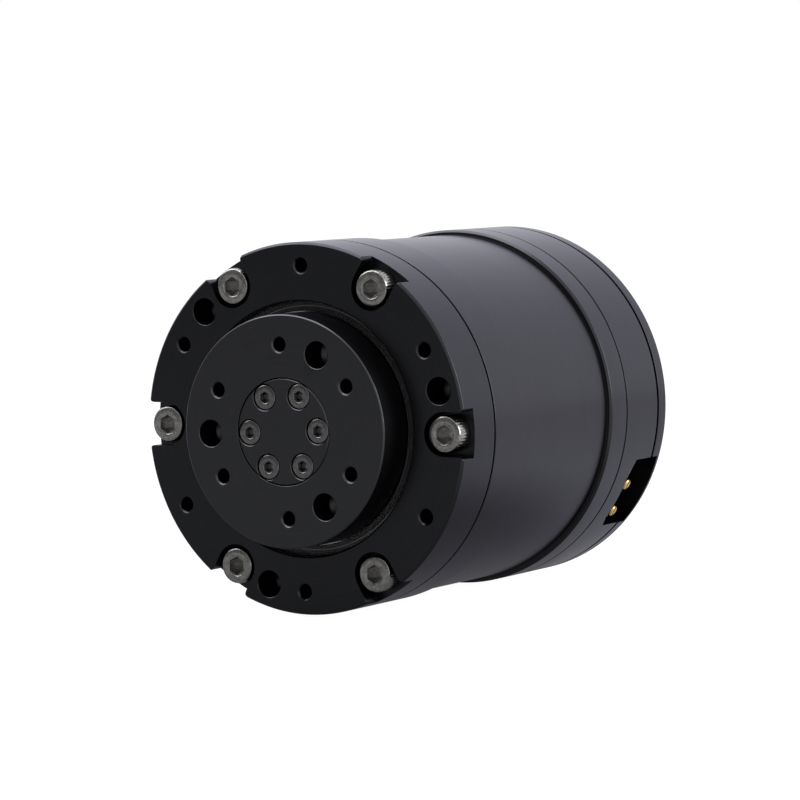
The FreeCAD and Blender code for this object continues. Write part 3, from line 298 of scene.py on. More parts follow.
class Palette:
    """Every finish of the actuator, each made once."""

    COOL: Triple = (0.9, 0.9, 1.0)
    ANODISED = Finish("anodised_black", (0.05, 0.05, 0.056), (0.038, 0.038, 0.043),
                      roughness=0.26, swing=0.05, pitch=0.14, relief=0.0002, edge_tint=COOL)
    FACED = Finish("anodised_faced", (0.04, 0.041, 0.046), (0.031, 0.032, 0.036),
                   roughness=0.28, swing=0.05, pitch=0.1, relief=0.00015, edge_tint=COOL)
    CHARCOAL = Finish("anodised_charcoal", (0.066, 0.067, 0.073), (0.052, 0.053, 0.058),
                      roughness=0.3, swing=0.04, pitch=0.1, relief=0.00012, edge_tint=COOL)
    OXIDE = Finish("oxide_steel", (0.4, 0.395, 0.385), (0.18, 0.176, 0.172),
                   roughness=0.2, swing=0.12, grain=Grain.BLASTED, pitch=0.4, relief=0.004)
    DARK_OXIDE = Finish("dark_oxide_steel", (0.22, 0.22, 0.22), (0.11, 0.11, 0.11),
                        roughness=0.2, swing=0.1, grain=Grain.BLASTED, pitch=0.3,
                        relief=0.003)
    BEARING = Finish("bearing_steel", (0.62, 0.62, 0.63), (0.52, 0.52, 0.53),
                     roughness=0.18, pitch=0.05, relief=0.0006)
    GEAR = Finish("gear_steel", (0.46, 0.46, 0.48), (0.36, 0.36, 0.38),
                  roughness=0.3, grain=Grain.GROUND, pitch=0.08, relief=0.0012)
    CARRIER = Finish("carrier_steel", (0.4, 0.4, 0.42), (0.31, 0.31, 0.33),
                     roughness=0.34, pitch=0.12, relief=0.0015)
    BRONZE = Finish("bush_bronze", (0.55, 0.37, 0.17), (0.34, 0.22, 0.1),
                    roughness=0.42, grain=Grain.BLASTED, pitch=0.1, relief=0.003)
    SHIELD = Finish("seal_rubber", (0.05, 0.05, 0.052), (0.035, 0.035, 0.037),
                    metallic=0.0, roughness=0.16, swing=0.04, pitch=0.12, relief=0.0003,
                    specular=0.9, coat=0.6)
    LAMINATED = Finish("lamination_steel", (0.36, 0.36, 0.38), (0.1, 0.1, 0.11),
                       roughness=0.4, grain=Grain.STACKED, pitch=0.35, relief=0.01)
    COPPER = Finish("winding_copper", (0.6, 0.24, 0.09), (0.28, 0.1, 0.04),
                    roughness=0.3, grain=Grain.WOUND, pitch=0.32, relief=0.05, coat=0.4)
    NICKEL = Finish("magnet_nickel", (0.6, 0.58, 0.54), (0.5, 0.48, 0.45),
                    roughness=0.2, grain=Grain.BLASTED, pitch=0.2, relief=0.001)
    BOARD = Finish("circuit_board", (0.02, 0.085, 0.045), (0.012, 0.05, 0.028),
                   metallic=0.0, roughness=0.38, grain=Grain.ROUTED, pitch=1.6, relief=0.02)
    EPOXY = Finish("chip_epoxy", (0.035, 0.035, 0.036), (0.022, 0.022, 0.023),
                   metallic=0.0, roughness=0.55, grain=Grain.BLASTED, pitch=0.15, relief=0.004)
    NYLON = Finish("connector_nylon", (0.085, 0.085, 0.09), (0.06, 0.06, 0.064),
                   metallic=0.0, roughness=0.36, grain=Grain.MOULDED, pitch=0.4, relief=0.004)
    GOLD = Finish("contact_gold", (0.9, 0.62, 0.26), (0.62, 0.4, 0.15),
                  roughness=0.24, grain=Grain.BLASTED, pitch=0.2, relief=0.002)
    SLEEVE = Finish("wire_sleeve", (0.42, 0.035, 0.028), (0.3, 0.024, 0.02),
                    metallic=0.0, roughness=0.45, grain=Grain.MOULDED, pitch=0.3, relief=0.003)
    PEEK = Finish("washer_peek", (0.42, 0.34, 0.23), (0.34, 0.27, 0.18),
                  metallic=0.0, roughness=0.5, grain=Grain.MOULDED, pitch=0.2, relief=0.002)

    def __init__(self) -> None:
        """Start with nothing made."""
        self._made: dict[str, bpy.types.Material] = {}

    def __getitem__(self, finish: Finish) -> bpy.types.Material:
        """Return a finish's material, making it the first time."""
        if finish.name not in self._made:
            self._made[finish.name] = finish.build()
        return self._made[finish.name]


# ---- modelling bench

def spot(radius: float, turn: float, depth: float) -> Vector:
    """Return a place in metres from a radius, a turn and a depth."""
    angle = math.radians(turn)
    return Vector((radius * math.cos(angle), depth, radius * math.sin(angle))) * MM


def around(turn: float) -> Matrix:
    """Return the turn about the actuator's axis that carries +X towards +Z."""
    return Matrix.Rotation(-math.radians(turn), 4, "Y")


def depths(node: str) -> Pair:
    """Return the front and back depth of a CAD node in millimetres."""
    low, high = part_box(node)
    return low.y / MM, high.y / MM


def radius_of(node: str) -> float:
    """Return the outer radius of a round CAD node in millimetres."""
    low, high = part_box(node)
    return (high.z - low.z) / 2 / MM


class Bench:
    """Modelling by operators, as by hand."""

    @staticmethod
    def clear() -> None:
        """Deselect everything."""
        if bpy.context.object and bpy.context.object.mode != "OBJECT":
            bpy.ops.object.mode_set(mode="OBJECT")
        bpy.ops.object.select_all(action="DESELECT")

    @classmethod
    def pick(cls, *pieces: Piece) -> None:
        """Select some objects, the first one active."""
        cls.clear()
        for piece in pieces:
            piece.select_set(True)
        bpy.context.view_layer.objects.active = pieces[0]

    @staticmethod
    def label(piece: Piece, name: str) -> Piece:
        """Name a piece and its mesh alike, and return the piece."""
        piece.name = name
        piece.data.name = name
        return piece

    @classmethod
    def bake(cls, piece: Piece) -> None:
        """Carry a piece's place, turn and size over into its mesh."""
        cls.pick(piece)
        bpy.ops.object.transform_apply(location=True, rotation=True, scale=True)

    @classmethod
    def draw(cls, name: str, points: Sequence[Vector]) -> Piece:
        """Draw a closed outline, left open in edit mode with all of it selected.

        Args:
            name: The new object's name.
            points: The outline's corners in metres.

        Returns:
            The object, in edit mode.
        """
        cls.clear()
        bpy.ops.mesh.primitive_plane_add(size=MM, location=points[0])
        piece = cls.label(bpy.context.object, name)
        bpy.ops.object.mode_set(mode="EDIT")
        bpy.ops.mesh.select_mode(type="VERT")
        bpy.ops.mesh.select_all(action="SELECT")
        bpy.ops.mesh.merge(type="CENTER")
        for start, end in zip(points, list(points[1:]) + [points[0]]):
            bpy.ops.mesh.extrude_vertices_move(
                TRANSFORM_OT_translate={"value": tuple(end - start)})
        bpy.ops.mesh.select_all(action="SELECT")
        bpy.ops.mesh.remove_doubles(threshold=WELD)
        bpy.ops.mesh.select_all(action="SELECT")
        return piece

    @classmethod
    def settle(cls, piece: Piece) -> Piece:
        """Close a mesh, turn its faces outwards and bring its origin to the frame's."""
        bpy.ops.mesh.select_all(action="SELECT")
        bpy.ops.mesh.remove_doubles(threshold=WELD)
        bpy.ops.mesh.select_all(action="SELECT")
        bpy.ops.mesh.normals_make_consistent(inside=False)
        cls.bake(piece)
        return piece

    @classmethod
    def turned(cls, name: str, profile: Profile, steps: int,
               centre: Vector | None = None) -> Piece:
        """Turn a closed profile about an axis parallel to Y.

        Args:
            name: The new object's name.
            profile: Corners as (radius, depth) in millimetres, radius from the turning axis.
            steps: How many steps make the full turn.
            centre: A place on the turning axis, the actuator's own if left out.

        Returns:
            The turned piece.
        """
        middle = centre or Vector((0, 0, 0))
        points = [Vector((middle.x + radius * MM, depth * MM, middle.z))
                  for radius, depth in profile]
        piece = cls.draw(name, points)
        bpy.ops.mesh.spin(steps=steps, angle=2 * math.pi, center=middle, axis=(0, 1, 0))
        return cls.settle(piece)

    @classmethod
    def prism(cls, name: str, points: Sequence[Vector], along: Vector) -> Piece:
        """Fill an outline and extrude it along a vector."""
        piece = cls.draw(name, points)
        bpy.ops.mesh.edge_face_add()
        bpy.ops.mesh.extrude_region_move(TRANSFORM_OT_translate={"value": tuple(along)})
        return cls.settle(piece)

    @classmethod
    def rod(cls, name: str, sides: int, radius: float, length: float,
            middle: Sequence[float], tilt: Sequence[float]) -> Piece:
        """Add a straight rod.

        Args:
            name: The new object's name.
            sides: How many sides it has.
            radius: Its radius in millimetres.
            length: Its length in millimetres.
            middle: Its middle in metres.
            tilt: Its rotation from upright.

        Returns:
            The rod.
        """
        cls.clear()
        bpy.ops.mesh.primitive_cylinder_add(vertices=sides, radius=radius * MM,
                                            depth=length * MM, rotation=tilt, location=middle)
        piece = cls.label(bpy.context.object, name)
        cls.bake(piece)
        return piece

    @classmethod
    def copies(cls, piece: Piece, turns: Sequence[float]) -> list[Piece]:
        """Copy a piece round the actuator's axis, each copy with its own mesh.

        Args:
            piece: The piece at turn 0, which is removed.
            turns: The copies' turns in degrees.

        Returns:
            The copies.
        """
        made = []
        for number, turn in enumerate(turns, start=1):
            cls.pick(piece)
            bpy.ops.object.duplicate(linked=False)
            copy = cls.label(bpy.context.object, "%s_%d" % (piece.name, number))
            copy.matrix_world = around(turn)
            cls.bake(copy)
            made.append(copy)
        bpy.data.objects.remove(piece)
        return made

    @classmethod
    def join(cls, pieces: Sequence[Piece]) -> Piece:
        """Join pieces into the first one."""
        cls.pick(*pieces)
        if len(pieces) > 1:
            bpy.ops.object.join()
        return pieces[0]

    @classmethod
    def apply(cls, piece: Piece, kind: str, **settings: object) -> None:
        """Add a modifier with its settings and apply it."""
        modifier = piece.modifiers.new(kind.lower(), kind)
        for name, value in settings.items():
            setattr(modifier, name, value)
        cls.pick(piece)
        bpy.ops.object.modifier_apply(modifier=modifier.name)

    @classmethod
    def cut(cls, piece: Piece, cutters: Sequence[Piece]) -> None:
        """Cut tools away from a piece and remove them."""
        tool = cls.join(cutters)
        cls.apply(piece, "BOOLEAN", operation="DIFFERENCE", solver="EXACT", object=tool)
        bpy.data.objects.remove(tool)

    @classmethod
    def finish(cls, piece: Piece, edge: float, angle: float = 35.0) -> None:
        """Break a piece's sharp edges and smooth its round faces.

        Args:
            piece: The piece.
            edge: The width of the broken edges in millimetres, 0 for none.
            angle: Edges flatter than this many degrees stay smooth.
        """
        if edge:
            cls.apply(piece, "BEVEL", width=edge * MM, segments=2, limit_method="ANGLE",
                      angle_limit=math.radians(angle), use_clamp_overlap=False,
                      miter_outer="MITER_ARC")
        cls.pick(piece)
        bpy.ops.object.shade_smooth_by_angle(angle=math.radians(angle))
        cls.apply(piece, "WEIGHTED_NORMAL", keep_sharp=True, weight=80)


def bore(name: str, stages: Sequence[Triple], centre: Vector, sides: int,
         point: float = 0.0) -> Piece:
    """Make the tool for a hole of several stages.

    Args:
        name: The tool's name.
        stages: The radius, first depth and last depth of each stage, joined by cones.
        centre: A place on its axis.
        sides: How many sides it has.
        point: How far a point reaches past the last stage.

    Returns:
        The tool.
    """
    profile = [(0, stages[0][1])]
    for radius, first, last in stages:
        profile += [(radius, first), (radius, last)]
    return Bench.turned(name, [*profile, (0, stages[-1][2] + point)], sides, centre)


def joint(radius: float, depth: float, side: int, width: float) -> Profile:
    """Return the profile corners of one lip of a fine dark joint between two pieces.

    Args:
        radius: The radius of the surface beside the joint.
        depth: The depth of the joint.
        side: -1 for the piece in front of it, 1 for the piece behind it.
        width: The width of the open joint.

    Returns:
        The corners, from the surface to the floor of the joint.
    """
    edge = depth + side * width / 2
    floor = radius - JOINT_DEPTH
    return [(radius, edge + side * JOINT_LIP), (radius - JOINT_LIP, edge), (floor, edge),
            (floor, depth)]


def arc(centre: Pair, reach: Pair, first: float,
        last: float, steps: int) -> list[Pair]:
    """Return places along an arc, both of its ends with them.

    Args:
        centre: The arc's centre.
        reach: Its radius along the first axis and along the second.
        first: The angle where it starts, in degrees.
        last: The angle where it ends.
        steps: How many steps it takes.

    Returns:
        The places in order.
    """
    angles = [math.radians(first + (last - first) * step / steps) for step in range(steps + 1)]
    return [(centre[0] + reach[0] * math.cos(angle), centre[1] + reach[1] * math.sin(angle))
            for angle in angles]


def ring(count: int, first: float = 0.0) -> list[float]:
    """Return evenly spaced turns in degrees."""
    return [first + 360.0 * number / count for number in range(count)]


# ---- sub-assemblies

class Workshop:
    """Makes pieces ready for the frame: dressed in a finish and riding on a body."""

    def __init__(self) -> None:
        """Open the palette."""
        self.palette = Palette()

    def fit(self, piece: Piece, body: str, slot: str, finish: Finish,
            *nodes: str) -> Piece:
        """Dress a piece and hang it on its body in place of CAD nodes.

        Args:
            piece: The modelled piece.
            body: The CAD body it rides on.
            slot: The record's material slot; not used.
            finish: Its finish.
            nodes: The CAD nodes it replaces.

        Returns:
            The same piece.
        """
        piece.data.materials.clear()
        piece.data.materials.append(self.palette[finish])
        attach(piece, body)
        if nodes:
            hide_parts(*nodes)
        LOG.info("%s: %d faces on %s", piece.name, len(piece.data.polygons), body)
        return piece

    def dress(self, node: str, finish: Finish) -> None:
        """Give a CAD node its finish."""
        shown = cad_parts[node]
        shown.data.materials.clear()
        shown.data.materials.append(self.palette[finish])
        LOG.info("%s: finish %s", node, finish.name)


@dataclass(frozen=True)
class MountingHoles:
    """Six tapped holes and three dowel holes on one circle of a face.

    Attributes:
        circle: The radius of the circle.
        tap_turn: The turn of the first tapped hole.
        dowel_turn: The turn of the first dowel hole.
        dowel_depth: The depth of the dowel holes.
        tap_depth: The depth of the tapped holes.
        tap: The radius of the tapped holes.
        dowel: The radius of the dowel holes.
    """

    circle: float
    tap_turn: float
    dowel_turn: float
    dowel_depth: float
    tap_depth: float = 5.5
    tap: float = 1.025
    dowel: float = 2.0

    def cut(self, piece: Piece, face: float) -> None:
        """Cut the holes into a face at a depth, with chamfered mouths and pointed floors."""
        tools = []
        for name, radius, mouth, deep, sides, turns in (
                ("tap_tool", self.tap, TAP_MOUTH, self.tap_depth, 40, ring(6, self.tap_turn)),
                ("dowel_tool", self.dowel, DOWEL_MOUTH, self.dowel_depth, 56,
                 ring(3, self.dowel_turn))):
            tool = bore(name, [(radius + mouth, face - PAST, face),
                               (radius, face + mouth, face + deep)],
                        spot(self.circle, 0, 0), sides, radius * POINT_SLOPE)
            tools += Bench.copies(tool, turns)
        Bench.cut(piece, tools)


@dataclass
class FrontFlange:
    """The notched mounting flange with its tapped holes and dowel holes.

    Attributes:
        holes: Its mounting holes, on the circle of its screws.
        screw_hole: The radius of the holes for its screws.
        notch: Half the width of a screw notch.
        notch_depth: The depth of a screw notch.
        flare: The radius of a notch's corners at the rim.
        past: How far beyond the rim the notch tool reaches.
        bore: The radius of the front bore.
        bore_edge: The width of the broken edge of the bore.
        lip: The depth of the front bore.
        seat: The radius of the bearing seat.
    """

    holes: MountingHoles = MountingHoles(24.5, 30.0, 15.0, 5.0)
    screw_hole: float = 1.7
    notch: float = 3.3
    notch_depth: float = 3.1
    flare: float = 1.2
    past: float = 1.5
    bore: float = 19.2
    bore_edge: float = 0.2
    lip: float = 3.2
    seat: float = 21.0

    def notch_outline(self, rim: float) -> list[Vector]:
        """Return the outline of a U that opens through the rim with rounded corners."""
        corners = arc((self.holes.circle, 0), (self.notch, self.notch), 90, 270, 24)
        low = arc((rim - self.flare, -self.notch - self.flare), (self.flare, self.flare),
                  90, 0, 8)
        wide = self.notch + self.flare
        past = [(rim + self.past, -wide), (rim + self.past, wide)]
        high = [(across, -side) for across, side in reversed(low)]
        return [Vector((across, -PAST, side)) * MM
                for across, side in corners + low + past + high]

    def build(self, shop: Workshop) -> None:
        """Model the flange and hang it on the housing."""
        rim = radius_of("front_flange")
        back = depths("front_flange")[1]
        centre = spot(self.holes.circle, 0, 0)
        piece = Bench.turned("mounting_flange", [
            (self.bore + self.bore_edge, 0), (rim - RIM_EDGE, 0), (rim, RIM_EDGE),
            *joint(rim, back, -1, JOINT_WIDE), (self.seat, back), (self.seat, self.lip),
            (self.bore, self.lip), (self.bore, self.bore_edge)], 180)
        notch = Bench.prism("notch_tool", self.notch_outline(rim),
                            Vector((0, (self.notch_depth + PAST) * MM, 0)))
        through = bore("screw_hole_tool", [(self.screw_hole, PAST, back + PAST)], centre, 40)
        Bench.cut(piece, Bench.copies(notch, ring(6)))
        Bench.cut(piece, Bench.copies(through, ring(6)))
        self.holes.cut(piece, 0)
        Bench.finish(piece, edge=0.07)
        shop.fit(piece, "housing", "anodised_black", Palette.FACED, "front_flange")


@dataclass
class Barrel:
    """The barrel, the driver ring behind it and the rear cover.

    Attributes:
        collar: The radius of the barrel's front collar, flush with the flange.
        collar_back: The depth where the collar ends.
        waist: The radius of the barrel behind the collar.
        band: The length of the raised band behind the waist.
        bores: The radii of the barrel's front bore, rear bore and shaft hole.
        wall: How far behind its front the barrel's inner wall starts and ends.
        ring_bores: The radii of the driver ring's board bore and shaft hole.
        web: How far behind its front the driver ring's web starts and ends.
        tube: The inner and outer radius of the stator tube.
        spigot: The inner and outer radius of the driver ring's spigot.
        spigot_length: The spigot's length.
        rounding: The radius of the cover's rounded edge.
        well: The radius and depth of a counterbore in the cover.
        screw_hole: The radius of the hole under it.
        screw_circle: The radius of the rear screw circle.
        window_turn: Where the connector window lies round the axis.
        window_width: The window's width.
        window_neck: The window's width at its front edge.
        window_front: The depth of the window's front edge.
        window_back: The depth where the window ends in the cover.
        window_floor: The radius where the window's tool starts.
        window_reach: How far outwards the tool goes.
        cover_lead: How far before the window's front the cover's tool starts.
        ear: How deep the window's bevelled front corners are.
    """

    collar: float = 28.0
    collar_back: float = 18.2
    waist: float = 27.5
    band: float = 5.3
    bores: Triple = (22.0, 24.3, 7.0)
    wall: Pair = (22.65, 24.65)
    ring_bores: Pair = (23.4, 8.0)
    web: Pair = (0.6, 1.8)
    tube: Pair = (9.5, 10.5)
    spigot: Pair = (22.2, 24.25)
    spigot_length: float = 0.8
    rounding: float = 0.8
    well: Pair = (2.0, 2.1)
    screw_hole: float = 1.1
    screw_circle: float = 25.6
    window_turn: float = -30.0
    window_width: float = 12.4
    window_neck: float = 8.4
    window_front: float = 55.0
    window_back: float = 63.5
    window_floor: float = 20.5
    window_reach: float = 10.0
    cover_lead: float = 3.0
    ear: float = 1.2

    def window(self, name: str, front: float, back: float) -> Piece:
        """Return the tool that cuts the connector window."""
        half, neck = self.window_width / 2, self.window_neck / 2
        sides = [(-neck, front), (neck, front), (half, front + self.ear), (half, back),
                 (-half, back), (-half, front + self.ear)]
        points = [Vector((self.window_floor, depth, side)) * MM for side, depth in sides]
        tool = Bench.prism(name, points, Vector((self.window_reach * MM, 0, 0)))
        return Bench.copies(tool, [self.window_turn])[0]

    def build(self, shop: Workshop) -> None:
        """Model the three pieces and hang them on the housing."""
        self.build_barrel(shop)
        self.build_driver_ring(shop)
        self.build_cover(shop)

    def build_barrel(self, shop: Workshop) -> None:
        """Model the barrel with its raised rear band."""
        front, back = depths("main_housing")
        rim = radius_of("main_housing")
        fall = (self.collar - self.waist) / 2
        step = back - self.band
        bore, rear_bore, hole = self.bores
        wall_front, wall_back = (front + offset for offset in self.wall)
        piece = Bench.turned("barrel", [
            (bore, front), *reversed(joint(self.collar, front, 1, JOINT_WIDE)),
            (self.collar, self.collar_back - fall), (self.waist, self.collar_back + fall),
            (self.waist, step), (rim - RIM_EDGE, step), (rim, step + RIM_EDGE),
            *joint(rim, back, -1, JOINT_FINE), (rear_bore, back), (rear_bore, wall_back),
            (hole, wall_back), (hole, wall_front), (bore, wall_front)], 200)
        Bench.finish(piece, edge=0.05)
        shop.fit(piece, "housing", "anodised_black", Palette.ANODISED, "main_housing")

    def build_driver_ring(self, shop: Workshop) -> None:
        """Model the ring that holds the driver board, with its stator tube and web."""
        front = depths("main_housing")[1]
        end, back = depths("driver_housing")
        rim = radius_of("driver_housing")
        bore, hole = self.ring_bores
        tube_bore, tube = self.tube
        spigot_bore, spigot = self.spigot
        web_front, web_back = (front + offset for offset in self.web)
        piece = Bench.turned("driver_ring", [
            *reversed(joint(rim, front, 1, JOINT_FINE)), *joint(rim, back, -1, JOINT_COVER),
            (bore, back), (bore, web_back), (hole, web_back), (hole, web_front),
            (tube_bore, web_front), (tube_bore, end), (tube, end), (tube, front),
            (spigot_bore, front), (spigot_bore, front - self.spigot_length),
            (spigot, front - self.spigot_length), (spigot, front)], 200)
        Bench.cut(piece, [self.window("window_tool", self.window_front, back + 2 * PAST)])
        Bench.finish(piece, edge=0.06)
        shop.fit(piece, "housing", "anodised_black", Palette.ANODISED, "driver_housing")

    def build_cover(self, shop: Workshop) -> None:
        """Model the round-edged cover with the counterbores for its screws."""
        front, back = depths("rear_cover")
        rim = radius_of("rear_cover")
        well, floor = self.well[0], back - self.well[1]
        rounding = arc((rim - self.rounding, back - self.rounding),
                       (self.rounding, self.rounding), 0, 90, 6)
        piece = Bench.turned("rear_plate", [
            (0, front), *reversed(joint(rim, front, 1, JOINT_COVER)), *rounding, (0, back)], 200)
        seat = bore("seat_tool", [(well, back + PAST, floor),
                                  (self.screw_hole, floor, front - PAST)],
                    spot(self.screw_circle, 0, 0), 48)
        Bench.cut(piece, Bench.copies(seat, ring(6)))
        Bench.cut(piece, [self.window("cover_window_tool", self.window_front - self.cover_lead,
                                      self.window_back)])
        Bench.finish(piece, edge=0.06)
        shop.fit(piece, "housing", "anodised_black", Palette.ANODISED, "rear_cover")


@dataclass
class OutputDisc:
    """The output flange and its flush cap.

    Attributes:
        turn: How far the output has turned at rest.
        edge: The width of the broken edge at the rim.
        hub: The radius of the hub and the depth where it starts.
        bore: The radius of the through hole.
        cap_gap: The gap round the cap.
        cap_edge: The width of the cap's broken edge.
        cap_circle: The radius of the cap's screw circle.
        well: The radius and depth of a counterbore in the cap.
        screw_hole: The radius of the hole under it.
        mouth: The width of the broken edges of the wells and the cap's recess.
    """

    turn: float = 2.8
    edge: float = 0.2
    hub: Pair = (14.95, 3.2)
    bore: float = 4.0
    cap_gap: float = 0.06
    cap_edge: float = 0.18
    cap_circle: float = 6.0
    well: Pair = (1.98, 2.1)
    screw_hole: float = 1.1
    mouth: float = 0.1

    def build(self, shop: Workshop) -> None:
        """Model the disc and the cap and hang them on the output."""
        front, back = depths("output_flange")
        rim = radius_of("output_flange")
        cap_rim = radius_of("output_cap")
        cap_back = depths("output_cap")[1]
        recess = cap_rim + self.cap_gap
        hub, step = self.hub
        disc = Bench.turned("output_disc", [
            (recess + self.mouth, front), (rim - self.edge, front), (rim, front + self.edge),
            (rim, step), (hub, step), (hub, back), (self.bore, back), (self.bore, cap_back),
            (recess, cap_back), (recess, front + self.mouth)], 180)
        MountingHoles(13.0, 30 + self.turn, 60 + self.turn, 4.5).cut(disc, front)
        Bench.finish(disc, edge=0.06)
        shop.fit(disc, "output", "anodised_charcoal", Palette.CHARCOAL, "output_flange")

        cap = Bench.turned("centre_cap", [
            (0, front), (cap_rim - self.cap_edge, front), (cap_rim, front + self.cap_edge),
            (cap_rim, cap_back), (0, cap_back)], 128)
        well, floor = self.well[0], front + self.well[1]
        seat = bore("cap_seat_tool", [
            (well + self.mouth, front - PAST, front), (well, front + self.mouth, floor),
            (self.screw_hole, floor, cap_back + PAST)], spot(self.cap_circle, 0, 0), 48)
        Bench.cut(cap, Bench.copies(seat, ring(6, self.turn)))
        Bench.finish(cap, edge=0.0)
        shop.fit(cap, "output", "anodised_black", Palette.CHARCOAL, "output_cap")


@dataclass
class DustShield:
    """The dished ring that closes the gap round the output disc.

    Attributes:
        inner: Its inner radius.
        outer: Its outer radius.
        lip: The depth of its two lips.
        dish: How far its middle lies behind them.
    """

    inner: float = 17.65
    outer: float = 19.15
    lip: float = 1.4
    dish: float = 1.2

    def build(self, shop: Workshop) -> None:
        """Model the shield and hang it on the housing."""
        back = depths("dust_seal")[1]
        middle = (self.inner + self.outer) / 2
        half = (self.outer - self.inner) / 2
        bowl = arc((middle, self.lip), (half, self.dish), 0, 180, 12)
        piece = Bench.turned("dust_shield", [*bowl, (self.inner, back), (self.outer, back)], 180)
        Bench.finish(piece, edge=0.0)
        shop.fit(piece, "housing", "seal_rubber", Palette.SHIELD, "dust_seal")


@dataclass
class SocketScrew:
    """A socket cap screw with a knurled head and a hexagon socket.

    Attributes:
        head: The head's radius.
        height: The head's height.
        socket: The width across the hexagon's flats.
        shank: The shank's radius.
        length: The shank's length.
        ridges: How many ridges the knurl has.
    """

    head: float = 2.75
    height: float = 3.0
    socket: float = 2.5
    shank: float = 1.5
    length: float = 12.0
    ridges: int = 36

    def model(self, name: str, circle: float, seat: float, facing: int = -1) -> Piece:
        """Model the screw at turn 0 of a circle.

        Args:
            name: The object's name.
            circle: The radius of its circle.
            seat: The depth under its head.
            facing: -1 if its head faces the front, 1 if it faces the rear.

        Returns:
            The screw.
        """
        centre = spot(circle, 0, 0)
        top = seat + facing * self.height
        dish = self.socket * 0.62
        groove = self.head * 0.035
        profile = [
            (0, top - facing * 0.06), (dish, top - facing * 0.06), (dish + 0.06, top),
            (self.head * 0.86, top), (self.head * 0.95, top - facing * self.head * 0.04),
            (self.head - groove, top - facing * self.head * 0.13),
            (self.head - groove, seat + facing * 0.12), (self.head * 0.9, seat),
            (self.shank, seat), (self.shank, seat - facing * (self.length - 0.3)),
            (self.shank - 0.3, seat - facing * self.length), (0, seat - facing * self.length)]
        piece = Bench.turned(name, profile, self.ridges * 2, centre)
        self.knurl(piece, centre, top, seat, facing)
        bpy.ops.object.select_all(action="DESELECT")
        bpy.ops.mesh.primitive_cylinder_add(
            vertices=6, radius=self.socket / 2 / math.cos(math.pi / 6) * MM,
            depth=self.height * 1.4 * MM, rotation=(math.pi / 2, 0, 0),
            location=(centre.x, top * MM, centre.z))
        tool = bpy.context.object
        tool.name = "hexagon_tool"
        Bench.pick(tool)
        bpy.ops.object.transform_apply(location=True, rotation=True, scale=True)
        floor = top - facing * self.height * 0.7
        half = self.socket / 2
        point = Bench.turned("point_tool", [
            (0, floor + facing * 0.4), (half, floor + facing * 0.4), (half, floor - facing * 0.05),
            (0, floor - facing * half * 0.6)], 36, centre)
        Bench.cut(piece, [tool, point])
        return piece

    def knurl(self, piece: Piece, centre: Vector, top: float, seat: float,
              facing: int) -> None:
        """Push every other edge of the head's side outwards into a ridge."""
        low, high = sorted((seat, top))
        bpy.ops.object.mode_set(mode="EDIT")
        bpy.ops.mesh.select_all(action="DESELECT")
        bpy.ops.object.mode_set(mode="OBJECT")
        inner = self.head * 0.96
        for vertex in piece.data.vertices:
            across = (vertex.co - centre)
            reach = math.hypot(across.x, across.z) / MM
            angle = math.atan2(across.z, across.x) / (math.pi / self.ridges)
            ridge = round(angle) % 2 == 0
            inside = low - 0.01 < vertex.co.y / MM < high + 0.01
            vertex.select = bool(ridge and inside and inner < reach < self.head)
        bpy.ops.object.mode_set(mode="EDIT")
        bpy.ops.transform.resize(value=(1 / (1 - 0.035), 1, 1 / (1 - 0.035)),
                                 center_override=centre)
        bpy.ops.object.mode_set(mode="OBJECT")


class Screws:
    """Every screw that shows."""

    def build(self, shop: Workshop) -> None:
        """Model the flange, cap and cover screws."""
        flange, disc = FrontFlange(), OutputDisc()
        piece = SocketScrew().model("flange_screw", flange.holes.circle, flange.notch_depth)
        Bench.finish(piece, edge=0.04, angle=40)
        self.spread(shop, piece, 0, "housing", Palette.OXIDE, "flange_screws")

        small = SocketScrew(head=1.9, height=2.0, socket=1.5, shank=0.8, length=4.0, ridges=28)
        seat = depths("output_cap_screws")[0] + small.height
        piece = small.model("cap_screw", disc.cap_circle, seat)
        Bench.finish(piece, edge=0.03, angle=40)
        self.spread(shop, piece, disc.turn, "output", Palette.DARK_OXIDE, "output_cap_screws")

        long = replace(small, length=16.0)
        seat = depths("rear_cover_screws")[1] - long.height
        piece = long.model("cover_screw", Barrel().screw_circle, seat, 1)
        Bench.finish(piece, edge=0.03, angle=40)
        self.spread(shop, piece, 0, "housing", Palette.DARK_OXIDE, "rear_cover_screws")

    @staticmethod
    def spread(shop: Workshop, screw: Piece, first: float, body: str,
               finish: Finish, node: str) -> None:
        """Copy a screw to six places from a first turn and hang the copies on a body."""
        for copy in Bench.copies(screw, ring(6, first)):
            shop.fit(copy, body, "black_oxide_steel", finish, node)


